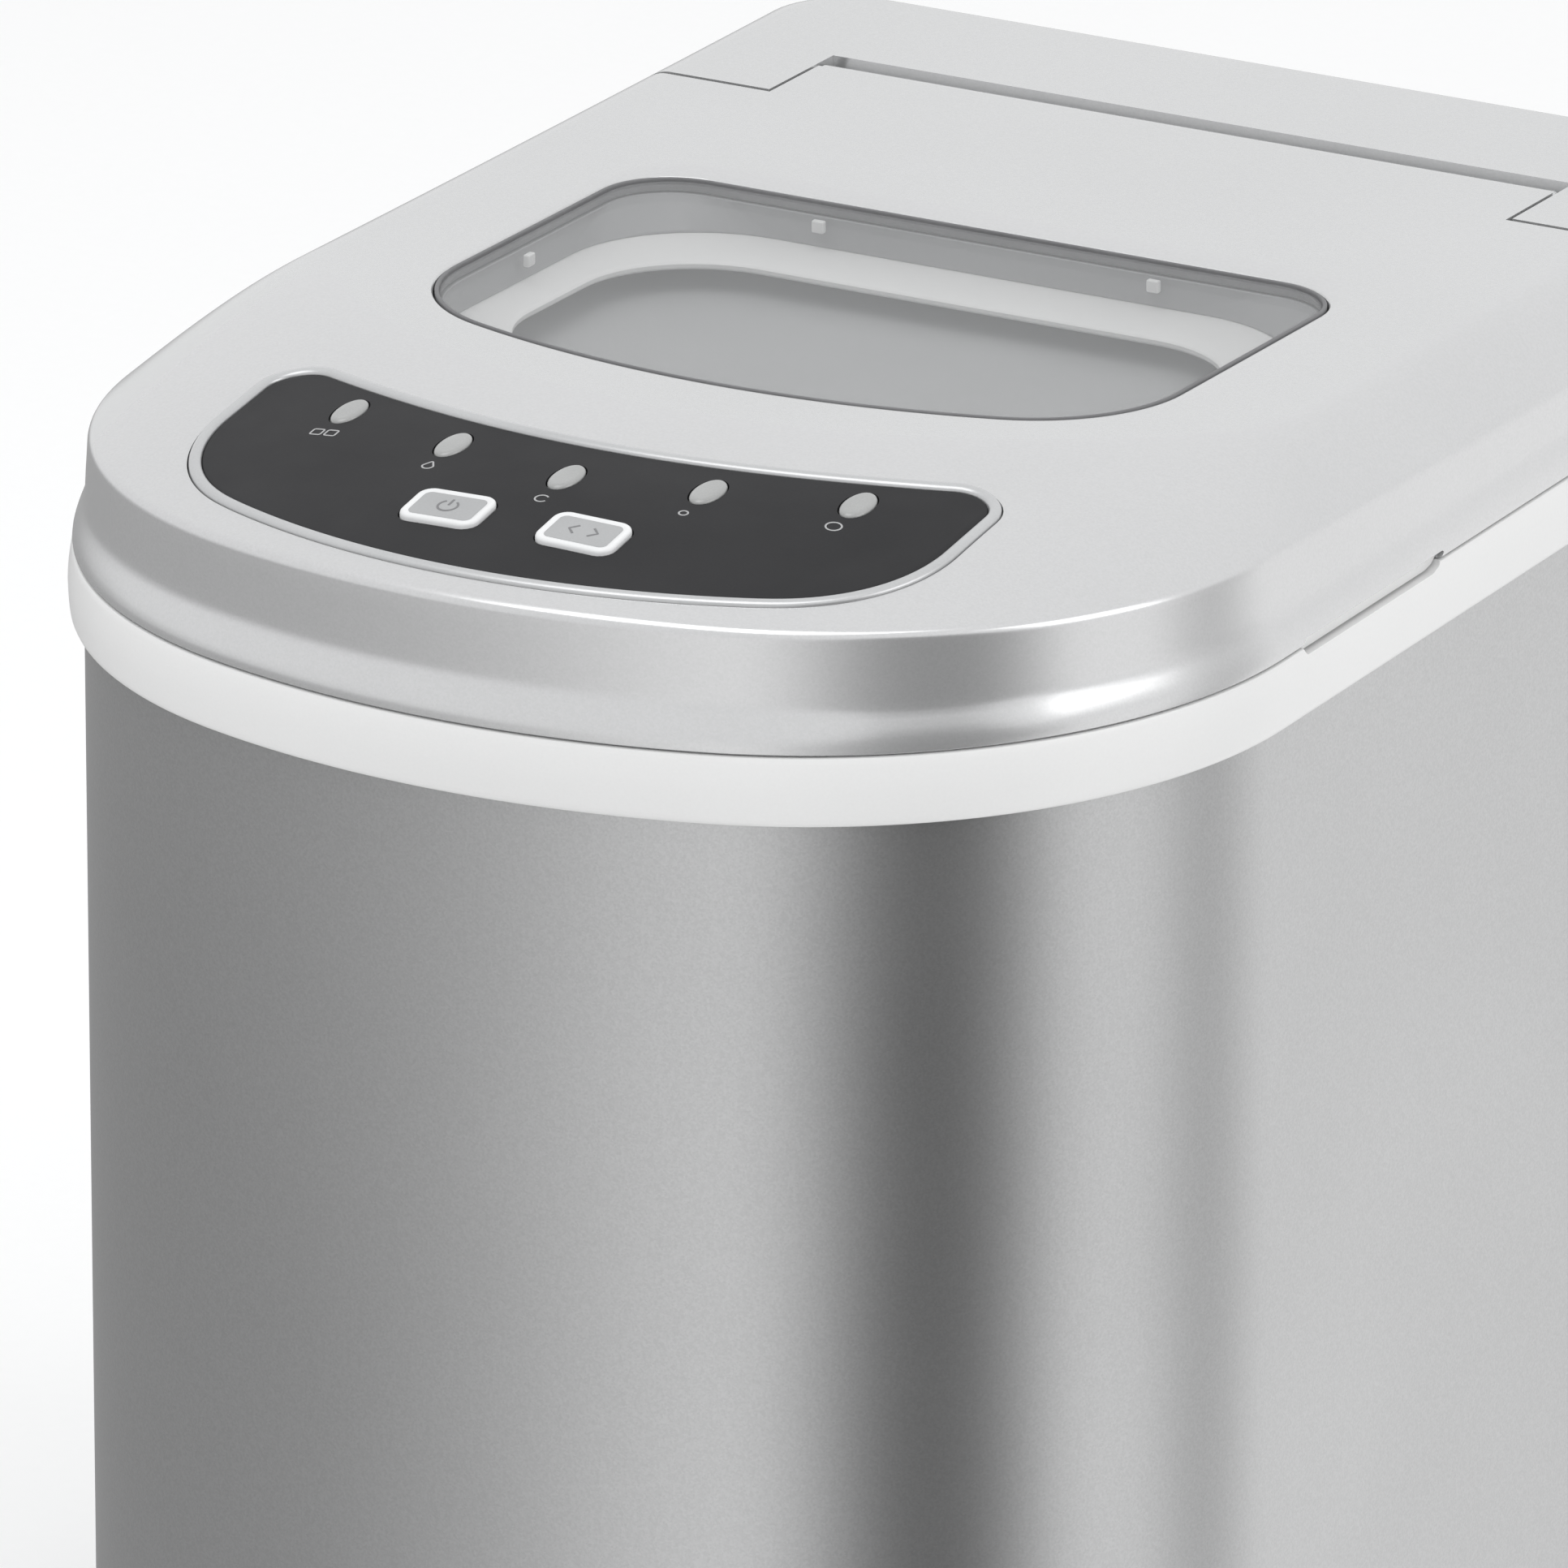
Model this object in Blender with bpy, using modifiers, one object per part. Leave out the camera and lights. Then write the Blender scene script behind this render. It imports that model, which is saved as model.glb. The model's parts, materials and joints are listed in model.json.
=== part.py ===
"""Countertop bullet-ice maker, modelled as separate pieces in metres.

X runs to the right as seen from the front, the front faces -Y, Z is up and the origin is at the middle of the
footprint, on the surface that the feet stand on.  Plan positions are given as a depth behind the front of the
collar band, so a piece keeps its place when the overall depth changes.
"""

import math

import bmesh
import bpy
from mathutils import Matrix, Vector

MM = 0.001

# ---------------------------------------------------------------- driving dimensions
BAND_HALF_WIDTH = 121.5 * MM      # collar band, the widest piece
DEPTH = 352.0 * MM                # front of the band to its back
BAND_BOTTOM = 277.0 * MM          # height of the band's lower edge
BAND_HEIGHT = 13.4 * MM
FRONT_RADIUS = 172.0 * MM         # plan radius of the bowed front
CORNER_RADIUS = 100.0 * MM        # plan radius of the front corners
REAR_RADIUS = 20.0 * MM           # plan radius of the rear corners
SIDE_STEP = 80.0 * MM             # longest facet along a straight side
GAP = 0.3 * MM                    # clearance between pieces that touch
RUNNING = 0.8 * MM                # clearance beside pieces that move

# lid and rear cover
SHELL = 2.4 * MM                  # wall of the moulded top
SKIRT_INSET = 0.9 * MM            # lid edge behind the band's widest line
WAIST_INSET = 3.3 * MM            # the skirt's narrowest line, above its flared foot
WAIST_RISE = 7.0 * MM
RIM_INSET = 4.0 * MM
RIM_RISE = 37.2 * MM              # rim above the band's lower edge, at the front
RIM_FALL = 0.052                  # slope of the rim towards the back
RIM_EASE = 0.065                  # how the slope dies out, per metre
RIDGE_HALF_WIDTH = 102.5 * MM     # plateau round the window
RIDGE_FRONT = 87.0 * MM
RIDGE_REAR_INSET = 17.0 * MM
RIDGE_RADIUS = 131.0 * MM
RIDGE_CORNER = 34.0 * MM
PLATEAU_RISE = 47.0 * MM          # plateau above the band's lower edge, at its front
PLATEAU_FALL = 0.032
PLATEAU_EASE = 0.026
LID_BACK = 271.6 * MM             # lid's rear edge beside the tongue
TONGUE_HALF_WIDTH = 79.8 * MM
HINGE_DEPTH = 291.3 * MM
HINGE_RADIUS = 6.0 * MM           # barrel at the end of the tongue
HINGE_GAP = 1.3 * MM
PIN_RADIUS = 1.8 * MM
PIN_LENGTH = 14.0 * MM

# window
WINDOW_HALF_WIDTH = 76.8 * MM
WINDOW_FRONT = 105.2 * MM
WINDOW_BACK = 215.5 * MM
WINDOW_RADIUS = 170.0 * MM
WINDOW_CORNER = 32.0 * MM
WINDOW_BACK_CORNER = 15.0 * MM
SEAL_WIDTH = 1.6 * MM
FRAME_INSET = 0.4 * MM            # inner panel's frame behind the window's edge
FRAME_WALL = 1.8 * MM
PANE_THICK = 2.0 * MM
LINER_HALF_WIDTH = 65.0 * MM      # opening in the lid's inner panel, under the window
LINER_FRONT = 122.0 * MM
LINER_BACK = 200.0 * MM
LINER_CORNER = 26.0 * MM

# control panel
PANEL_HALF_WIDTH = 75.5 * MM
PANEL_FRONT = 13.0 * MM
PANEL_FRONT_RADIUS = 128.0 * MM
PANEL_CORNER = 34.0 * MM
PANEL_TIP = 78.5 * MM             # depth of the panel's two rear tips
PANEL_BACK_MIDDLE = 63.8 * MM
PANEL_TIP_RADIUS = 7.0 * MM
BEZEL_WIDTH = 2.4 * MM
BEZEL_PROUD = 0.8 * MM
OVERLAY_THICK = 2.0 * MM
BUTTON_PITCH = 28.4 * MM
BUTTON_DEPTH = 31.8 * MM
BUTTON_SIZE = (16.3 * MM, 11.5 * MM)
BUTTON_CORNER = 3.0 * MM
BUTTON_PROUD = 1.0 * MM
BUTTON_TRAVEL = 0.8 * MM
BUTTON_CLEAR = 0.35 * MM
LED_PLACES = ((-53.5, 64.0), (-26.8, 55.8), (0.0, 50.7), (26.8, 55.8), (53.5, 64.0))
LED_NAMES = ("ice_full", "add_water", "running", "size_small", "size_large")
LED_HALF = (2.9 * MM, 5.1 * MM)
BOARD_THICK = 1.6 * MM
BOARD_DROP = 5.6 * MM             # board's upper face under the outer skin

# finger slots at the seam
SLOT_MIDDLE = 139.5 * MM
SLOT_LENGTH = 56.0 * MM
SLOT_UP = 1.7 * MM                # above the seam, in the lid
SLOT_DOWN = 1.5 * MM              # below the seam, in the band
SLOT_REACH = 6.5 * MM

# body
BODY_INSET = 3.0 * MM             # body wrap inside the band
SHEET = 1.2 * MM
FOOT_HEIGHT = 7.0 * MM
FOOT_RADIUS = 11.0 * MM
FOOT_INSET = 34.0 * MM
BASE_WALL = 2.5 * MM
BASE_RISE = 14.0 * MM             # wall of the base tray
BODY_TUCK = 6.0 * MM              # wrap runs up behind the band by this much
BACK_PANEL_THICK = 2.5 * MM
VENT_COUNT = 12
VENT_PITCH = 9.0 * MM
VENT_SLOT = (60.0 * MM, 3.2 * MM)
VENT_DEPTH = 282.0 * MM           # middle of the side vents
VENT_HEIGHT = 60.0 * MM           # lowest slot

# tank
TANK_INSET = 15.0 * MM
TANK_FRONT = 15.0 * MM
TANK_BACK = 224.0 * MM
TANK_FLOOR = 62.0 * MM
TANK_WALL = 2.5 * MM
TANK_TOP = 284.0 * MM
TANK_LIP = 6.0 * MM
TANK_CORNER = 60.0 * MM

# ice making
AXIS_DEPTH = 171.0 * MM
AXIS_HEIGHT = 236.0 * MM
TRAY_INNER = 33.5 * MM
TRAY_WALL = 1.8 * MM
TRAY_HALF = 72.0 * MM
TRAY_SPAN = 70.0                  # degrees each side of straight down
TRAY_TILT = 70.0
PUSHER_INNER = 37.5 * MM
PUSHER_OUTER = 46.0 * MM
PUSHER_ANGLE = -28.0              # degrees, blade's rest place behind the tray
PUSHER_RATIO = -1.4
FINGER_PITCH = 26.0 * MM
FINGER_ROW = 11.0 * MM
FINGER_RADIUS = 3.9 * MM
FINGER_REACH = 27.0 * MM
PLATE_LOW = 2.0 * MM
PLATE_HIGH = 12.0 * MM

# cover over the evaporator's tubes
COVER_HALF_WIDTH = 96.0 * MM
COVER_FRONT = 152.0 * MM
COVER_BACK = 256.0 * MM
COVER_HEIGHT = 11.5 * MM
COVER_WALL = 2.0 * MM

# basket and scoop
BASKET_HALF = 78.0 * MM
BASKET_FRONT = 26.0 * MM
BASKET_BOW = 150.0 * MM
BASKET_CORNER = 50.0 * MM
BASKET_BACK = 117.0 * MM
BASKET_LOW = 150.0 * MM
BASKET_HIGH = 236.0 * MM
BASKET_WALL = 2.2 * MM
BASKET_LEDGE = 3.0 * MM
SCOOP_LENGTH = 52.0 * MM
SCOOP_WIDTH = 40.0 * MM
SCOOP_HEIGHT = 30.0 * MM
SCOOP_WALL = 2.0 * MM

# cooling machinery
COMPRESSOR_RADIUS = 47.0 * MM
COMPRESSOR_HEIGHT = 118.0 * MM
COMPRESSOR_PLACE = (54.0 * MM, 283.0 * MM)
CONDENSER_SIZE = (98.0 * MM, 30.0 * MM, 112.0 * MM)
CONDENSER_PLACE = (-58.0 * MM, 262.0 * MM)
FAN_RADIUS = 44.0 * MM
FAN_DEPTH = 322.0 * MM
FAN_HEIGHT = 96.0 * MM
BLADES = 7

DECK_TOP = BAND_BOTTOM + BAND_HEIGHT
PARTS = "ice_maker"
CUTTERS = "cutters"


# ---------------------------------------------------------------- scene and materials
def start():
    """Empty the scene and make the two collections."""
    for old in list(bpy.data.objects):
        bpy.data.objects.remove(old, do_unlink=True)
    for name in (PARTS, CUTTERS):
        fresh = bpy.data.collections.new(name)
        bpy.context.scene.collection.children.link(fresh)


FINISHES = {
    "silver": ((0.62, 0.63, 0.64), 0.32, 0.9),
    "body_silver": ((0.50, 0.51, 0.52), 0.30, 0.9),
    "pale_plastic": ((0.80, 0.80, 0.79), 0.38, 0.0),
    "grey_plastic": ((0.45, 0.46, 0.47), 0.45, 0.0),
    "dark_plastic": ((0.06, 0.06, 0.065), 0.35, 0.0),
    "black_rubber": ((0.02, 0.02, 0.02), 0.8, 0.0),
    "clear": ((0.55, 0.57, 0.58), 0.05, 0.0),
    "lens": ((0.75, 0.76, 0.74), 0.25, 0.0),
    "steel": ((0.55, 0.55, 0.56), 0.35, 1.0),
    "copper": ((0.72, 0.38, 0.22), 0.35, 1.0),
    "black_metal": ((0.03, 0.03, 0.032), 0.45, 0.5),
    "aluminium": ((0.70, 0.71, 0.72), 0.4, 1.0),
    "board": ((0.05, 0.22, 0.10), 0.5, 0.0),
    "foam": ((0.78, 0.72, 0.55), 0.9, 0.0),
}


def finish(piece, kind):
    """Give a piece its own material of the named kind."""
    colour, roughness, metallic = FINISHES[kind]
    material = bpy.data.materials.new(piece.name + "_" + kind)
    material.use_nodes = True
    shader = material.node_tree.nodes["Principled BSDF"]
    shader.inputs["Base Color"].default_value = (*colour, 1.0)
    shader.inputs["Roughness"].default_value = roughness
    shader.inputs["Metallic"].default_value = metallic
    piece.data.materials.clear()
    piece.data.materials.append(material)
    return piece


def place(piece, group=PARTS):
    """Move an object into one of the two collections."""
    for home in list(piece.users_collection):
        home.objects.unlink(piece)
    bpy.data.collections[group].objects.link(piece)
    if group == CUTTERS:
        piece.hide_render = True
        piece.display_type = "WIRE"
    return piece


def tool(piece):
    """Make an object a hidden cutter."""
    return place(piece, CUTTERS)


def soften(piece, angle=30.0):
    """Shade a round piece smooth, with its edges kept sharp."""
    piece.data.shade_smooth()
    piece.data.set_sharp_from_angle(angle=math.radians(angle))
    return piece


# ---------------------------------------------------------------- shapes
def back(depth):
    """World Y of a depth behind the front of the band."""
    return depth - DEPTH / 2


def mesh_object(name, bm):
    """An object in the parts collection from a bmesh, with its faces outwards."""
    bmesh.ops.recalc_face_normals(bm, faces=bm.faces)
    if bm.calc_volume(signed=True) < 0:
        bmesh.ops.reverse_faces(bm, faces=bm.faces)
    mesh = bpy.data.meshes.new(name)
    bm.to_mesh(mesh)
    bm.free()
    piece = bpy.data.objects.new(name, mesh)
    bpy.data.collections[PARTS].objects.link(piece)
    return piece


def box(name, low, high):
    """A block between two corners."""
    bm = bmesh.new()
    bmesh.ops.create_cube(bm, size=1.0)
    size = [b - a for a, b in zip(low, high)]
    middle = [(a + b) / 2 for a, b in zip(low, high)]
    bmesh.ops.scale(bm, vec=size, verts=bm.verts)
    bmesh.ops.translate(bm, vec=middle, verts=bm.verts)
    return mesh_object(name, bm)


def rod(name, start_point, end_point, radius, sides=16, end_radius=None):
    """A round bar, or a cone, from one point to another."""
    first, last = Vector(start_point), Vector(end_point)
    run = last - first
    bm = bmesh.new()
    bmesh.ops.create_cone(bm, cap_ends=True, segments=sides, radius1=radius,
                          radius2=radius if end_radius is None else end_radius, depth=run.length)
    turn = Vector((0, 0, 1)).rotation_difference(run.normalized()).to_matrix().to_4x4()
    bm.transform(Matrix.Translation((first + last) / 2) @ turn)
    return soften(mesh_object(name, bm))


def turned(name, profile, sides=32):
    """A solid turned about Z from (radius, height) points that run down its outer side."""
    bm = bmesh.new()
    points = [bm.verts.new((radius, 0.0, height)) for radius, height in profile]
    for one, two in zip(points, points[1:]):
        bm.edges.new((one, two))
    mesh = bpy.data.meshes.new(name)
    bm.to_mesh(mesh)
    bm.free()
    piece = bpy.data.objects.new(name, mesh)
    bpy.data.collections[PARTS].objects.link(piece)
    screw = piece.modifiers.new("turn", "SCREW")
    screw.steps = sides
    screw.render_steps = sides
    screw.use_merge_vertices = True
    screw.merge_threshold = 0.00001
    return piece


def solid_of(piece):
    """A plain mesh object from an evaluated curve or a piece with modifiers, which it replaces."""
    name, homes = piece.name, list(piece.users_collection)
    bpy.context.view_layer.update()
    shown = piece.evaluated_get(bpy.context.evaluated_depsgraph_get())
    mesh = bpy.data.meshes.new_from_object(shown)
    place_matrix = piece.matrix_world.copy()
    bpy.data.objects.remove(piece, do_unlink=True)
    bm = bmesh.new()
    bm.from_mesh(mesh)
    bmesh.ops.remove_doubles(bm, verts=bm.verts, dist=0.000001)
    bmesh.ops.recalc_face_normals(bm, faces=bm.faces)
    bm.to_mesh(mesh)
    bm.free()
    mesh.name = name
    fresh = bpy.data.objects.new(name, mesh)
    fresh.matrix_world = place_matrix
    for home in homes:
        home.objects.link(fresh)
    return fresh


def plate(name, outline, low, high):
    """A flat outline of (x, y) points, raised from one height to another."""
    curve = bpy.data.curves.new(name, "CURVE")
    curve.dimensions = "2D"
    curve.fill_mode = "BOTH"
    curve.extrude = (high - low) / 2
    line = curve.splines.new("POLY")
    line.points.add(len(outline) - 1)
    for point, (x, y) in zip(line.points, outline):
        point.co = (x, y, 0.0, 1.0)
    line.use_cyclic_u = True
    piece = bpy.data.objects.new(name, curve)
    piece.location = (0.0, 0.0, (low + high) / 2)
    bpy.data.collections[PARTS].objects.link(piece)
    return solid_of(piece)


def tube(name, points, radius, sides=2):
    """A round tube along points, with a smooth path through them."""
    curve = bpy.data.curves.new(name, "CURVE")
    curve.dimensions = "3D"
    curve.bevel_depth = radius
    curve.bevel_resolution = sides
    curve.use_fill_caps = True
    line = curve.splines.new("POLY")
    route = rounded_route([Vector(point) for point in points])
    line.points.add(len(route) - 1)
    for point, where in zip(line.points, route):
        point.co = (*where, 1.0)
    piece = bpy.data.objects.new(name, curve)
    bpy.data.collections[PARTS].objects.link(piece)
    return piece


def rounded_route(points, steps=4):
    """Points on a Catmull-Rom curve through the given ones."""
    ends = [points[0] * 2 - points[1]] + points + [points[-1] * 2 - points[-2]]
    route = []
    for before, one, two, after in zip(ends, ends[1:], ends[2:], ends[3:]):
        for step in range(steps):
            t = step / steps
            route.append(0.5 * (2 * one + (two - before) * t
                                + (2 * before - 5 * one + 4 * two - after) * t ** 2
                                + (3 * one - before - 3 * two + after) * t ** 3))
    route.append(points[-1])
    return route


def boolean(piece, other, kind):
    """Add one Boolean modifier to a piece."""
    change = piece.modifiers.new(kind.lower(), "BOOLEAN")
    change.operation = kind
    change.object = other
    change.solver = "EXACT"
    return piece


def cut(piece, *cutters):
    """Take cutters away from a piece."""
    for cutter in cutters:
        boolean(piece, tool(cutter), "DIFFERENCE")
    return piece


def join(piece, *others):
    """Union other solids into a piece."""
    for other in others:
        boolean(piece, tool(other), "UNION")
    return piece


def meet(piece, other):
    """Keep what a piece shares with another solid."""
    return boolean(piece, tool(other), "INTERSECT")


def origin_at(piece, point):
    """Put a mesh piece's origin at a world point, with its shape left where it is."""
    shift = Vector(point) - piece.location
    piece.data.transform(Matrix.Translation(-shift))
    piece.location = point
    return piece


# ---------------------------------------------------------------- outlines
def corner_end(half_width, front, front_radius, corner):
    """Depth at which a front corner of such an outline turns into its straight side."""
    return front + front_radius - math.sqrt((front_radius - corner) ** 2 - (half_width - corner) ** 2)


SIDE_STEPS = max(3, math.ceil((DEPTH - REAR_RADIUS - CORNER_RADIUS) / SIDE_STEP))


def rounded_front(half_width, front, front_radius, corner, rear, rear_corner,
                  counts=(SIDE_STEPS, 7, 8, 3, 2)):
    """Closed outline with a bowed front, large front corners and a straight back, as (x, y) points.

    The same counts give the same order of points, so two outlines can be lofted.
    """
    side_steps, corner_steps, front_steps, rear_steps, back_steps = counts
    corner_x = half_width - corner
    corner_d = corner_end(half_width, front, front_radius, corner)
    meeting = math.atan2(corner_x, front + front_radius - corner_d)
    straight_end = rear - rear_corner
    right = []
    for step in range(side_steps):
        right.append((half_width, straight_end + (corner_d - straight_end) * step / side_steps))
    for step in range(corner_steps):
        angle = math.pi / 2 + (meeting - math.pi / 2) * step / corner_steps
        right.append((corner_x + corner * math.sin(angle), corner_d - corner * math.cos(angle)))
    front_arc = []
    for step in range(front_steps + 1):
        angle = meeting * (1 - 2 * step / front_steps)
        front_arc.append((front_radius * math.sin(angle),
                          front + front_radius - front_radius * math.cos(angle)))
    rear_arc = []
    for step in range(rear_steps + 1):
        angle = math.pi / 2 * step / rear_steps
        rear_arc.append((-(half_width - rear_corner) - rear_corner * math.cos(angle),
                         straight_end + rear_corner * math.sin(angle)))
    left = [(-x, depth) for x, depth in reversed(right)]
    middle = [(-(half_width - rear_corner) * (1 - 2 * step / back_steps), rear)
              for step in range(1, back_steps)]
    closing = [(-x, depth) for x, depth in reversed(rear_arc)]
    loop = right + front_arc + left[:-1] + rear_arc + middle + closing[:-1]
    return [(x, back(depth)) for x, depth in loop]


def body_outline(inset, front_extra=0.0):
    """The machine's plan outline, moved in by an inset all round."""
    return rounded_front(BAND_HALF_WIDTH - inset, inset + front_extra, FRONT_RADIUS - inset,
                         CORNER_RADIUS - inset, DEPTH - inset, max(REAR_RADIUS - inset, 2 * MM))


def ridge_outline():
    """Outline of the raised plateau."""
    return rounded_front(RIDGE_HALF_WIDTH, RIDGE_FRONT, RIDGE_RADIUS, RIDGE_CORNER,
                         DEPTH - RIDGE_REAR_INSET, REAR_RADIUS - RIM_INSET)


def window_outline(grow=0.0):
    """Outline of the window, grown by an amount all round."""
    return rounded_front(WINDOW_HALF_WIDTH + grow, WINDOW_FRONT - grow, WINDOW_RADIUS + grow,
                         WINDOW_CORNER + grow, WINDOW_BACK + grow, WINDOW_BACK_CORNER + grow,
                         (1, 4, 6, 3, 1))


def panel_outline(grow=0.0):
    """Crescent outline of the control panel, grown by an amount all round."""
    half = PANEL_HALF_WIDTH + grow
    front_radius = PANEL_FRONT_RADIUS + grow
    corner = PANEL_CORNER + grow
    front = PANEL_FRONT - grow
    corner_x = half - corner
    corner_d = front + front_radius - math.sqrt((front_radius - corner) ** 2 - corner_x ** 2)
    meeting = math.atan2(corner_x, front + front_radius - corner_d)
    right = []
    for step in range(7):
        angle = meeting * step / 6
        right.append((front_radius * math.sin(angle), front + front_radius * (1 - math.cos(angle))))
    for step in range(1, 6):
        angle = meeting + (math.pi / 2 - meeting) * step / 5
        right.append((corner_x + corner * math.sin(angle), corner_d - corner * math.cos(angle)))
    tip = PANEL_TIP_RADIUS + grow
    tip_x = half - tip
    tip_d = PANEL_TIP - PANEL_TIP_RADIUS
    for step in range(5):
        angle = math.radians(120) * step / 4
        right.append((tip_x + tip * math.cos(angle), tip_d + tip * math.sin(angle)))
    last_x, last_d = right[-1]
    middle = PANEL_BACK_MIDDLE + grow
    sag = last_d - middle
    for step in range(1, 5):
        share = 1 - step / 5
        right.append((last_x * share, middle + sag * share ** 2))
    left = [(-x, depth) for x, depth in reversed(right[1:])]
    top = [(0.0, middle)]
    return [(x, back(depth)) for x, depth in right + top + left]


def rounded_rectangle(middle_x, middle_d, size_x, size_y, corner, steps=3):
    """A rectangle with round corners, as (x, y) points."""
    points = []
    for turn, (side_x, side_y) in enumerate(((1, 1), (-1, 1), (-1, -1), (1, -1))):
        for step in range(steps + 1):
            angle = math.pi / 2 * (turn + step / steps)
            points.append((middle_x + side_x * (size_x / 2 - corner) + corner * math.cos(angle),
                           back(middle_d) + side_y * (size_y / 2 - corner) + corner * math.sin(angle)))
    return points


def oval(middle_x, middle_d, half_x, half_y, sides=12):
    """An ellipse, as (x, y) points."""
    return [(middle_x + half_x * math.cos(2 * math.pi * k / sides),
             back(middle_d) + half_y * math.sin(2 * math.pi * k / sides)) for k in range(sides)]


# ---------------------------------------------------------------- the moulded top surface
def rim_height(y):
    """Height of the rim line."""
    depth = y + DEPTH / 2
    return BAND_BOTTOM + RIM_RISE - RIM_FALL * depth + RIM_EASE * depth ** 2


def plateau_height(y):
    """Height of the plateau."""
    depth = y + DEPTH / 2 - RIDGE_FRONT
    return BAND_BOTTOM + PLATEAU_RISE - PLATEAU_FALL * depth + PLATEAU_EASE * depth ** 2


def shoulder_rings(steps=6):
    """Rings from the rim up to the ridge, on a quarter-sine rise, then in to the middle."""
    rim, ridge = body_outline(RIM_INSET), ridge_outline()
    rings = []
    for step in range(steps + 1):
        share = step / steps
        rise = math.sin(math.pi / 2 * share)
        rings.append([(ax + (bx - ax) * share, ay + (by - ay) * share,
                       rim_height(ay) * (1 - rise) + plateau_height(by) * rise)
                      for (ax, ay), (bx, by) in zip(rim, ridge)])
    middle_y = back((RIDGE_FRONT + DEPTH - RIDGE_REAR_INSET) / 2)
    for share in (0.72, 0.44, 0.18):
        ring = []
        for x, y in ridge:
            inner_y = middle_y + (y - middle_y) * share
            ring.append((x * share, inner_y, plateau_height(inner_y)))
        rings.append(ring)
    return rings, (0.0, middle_y, plateau_height(middle_y))


def skirt_rings():
    """Rings from the lid's lower edge up to just under the rim."""
    low = [(x, y, DECK_TOP - 1 * MM) for x, y in body_outline(SKIRT_INSET)]
    waist = [(x, y, DECK_TOP + WAIST_RISE) for x, y in body_outline(WAIST_INSET)]
    return [low, waist]


def ring_faces(bm, rings):
    """Quads between rings of equal count; returns the rings' vertices."""
    rows = [[bm.verts.new(point) for point in ring] for ring in rings]
    for one, two in zip(rows, rows[1:]):
        for k in range(len(one)):
            following = (k + 1) % len(one)
            bm.faces.new((one[k], one[following], two[following], two[k]))
    return rows


def top_surface(name):
    """The open outer surface of the whole moulded top: skirt, rim, shoulder and plateau."""
    bm = bmesh.new()
    shoulder, middle = shoulder_rings()
    rows = ring_faces(bm, skirt_rings() + shoulder)
    crown = bm.verts.new(middle)
    last = rows[-1]
    for k in range(len(last)):
        bm.faces.new((last[k], last[(k + 1) % len(last)], crown))
    return mesh_object(name, bm)


def top_shell(name):
    """The moulded top as a wall of even thickness, trimmed flat above the collar."""
    piece = top_surface(name)
    wall = piece.modifiers.new("wall", "SOLIDIFY")
    wall.thickness = SHELL
    wall.offset = -1.0
    wall.use_even_offset = True
    below = box(name + "_below", (-2 * BAND_HALF_WIDTH, -DEPTH, DECK_TOP - 20 * MM),
                (2 * BAND_HALF_WIDTH, DEPTH, DECK_TOP + GAP))
    return cut(piece, below)


def skin(name, low, high):
    """A layer that follows the top surface, between two distances above it."""
    bm = bmesh.new()
    shoulder, middle = shoulder_rings()
    levels = []
    for rise in (low, high):
        levels.append([[(x, y, z + rise) for x, y, z in ring] for ring in shoulder])
    rows = ring_faces(bm, list(reversed(levels[0])) + levels[1])
    for row, rise in ((rows[0], low), (rows[-1], high)):
        crown = bm.verts.new((middle[0], middle[1], middle[2] + rise))
        for k in range(len(row)):
            bm.faces.new((row[k], row[(k + 1) % len(row)], crown))
    return mesh_object(name, bm)


def skin_piece(name, outline, low, high):
    """A piece of the given outline that follows the top surface."""
    piece = plate(name, outline, BAND_BOTTOM, BAND_BOTTOM + 2 * PLATEAU_RISE)
    return meet(piece, skin(name + "_skin", low, high))


def surface_height(x, y):
    """Height of the top surface at a point, found on the shoulder's rings."""
    rim, ridge = body_outline(RIM_INSET), ridge_outline()
    best = None
    for (ax, ay), (bx, by) in zip(rim, ridge):
        run_x, run_y = bx - ax, by - ay
        share = ((x - ax) * run_x + (y - ay) * run_y) / (run_x ** 2 + run_y ** 2)
        share = min(max(share, 0.0), 1.0)
        off = math.hypot(ax + run_x * share - x, ay + run_y * share - y)
        rise = math.sin(math.pi / 2 * share)
        height = rim_height(ay) * (1 - rise) + plateau_height(by) * rise
        if best is None or off < best[0]:
            best = (off, height)
    return best[1]


HINGE_HEIGHT = plateau_height(back(HINGE_DEPTH)) - HINGE_RADIUS


def slot_cutter(name, side):
    """Pointed finger slot at the seam on one side."""
    half = SLOT_LENGTH / 2
    seam = DECK_TOP
    outer = side * (BAND_HALF_WIDTH + 2 * MM)
    inner = side * (BAND_HALF_WIDTH - SLOT_REACH)
    bm = bmesh.new()
    section = ((-half, seam - 0.4 * SLOT_DOWN), (-half + 6 * MM, seam - SLOT_DOWN),
               (half - 6 * MM, seam - SLOT_DOWN), (half, seam + 0.4 * SLOT_UP),
               (half - 6 * MM, seam + SLOT_UP), (-half + 6 * MM, seam + SLOT_UP))
    loops = []
    for x in (inner, outer):
        loops.append([bm.verts.new((x, back(SLOT_MIDDLE) + along, height)) for along, height in section])
    for k in range(len(section)):
        following = (k + 1) % len(section)
        bm.faces.new((loops[0][k], loops[0][following], loops[1][following], loops[1][k]))
    bm.faces.new(loops[0])
    bm.faces.new(loops[1])
    return mesh_object(name, bm)


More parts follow.
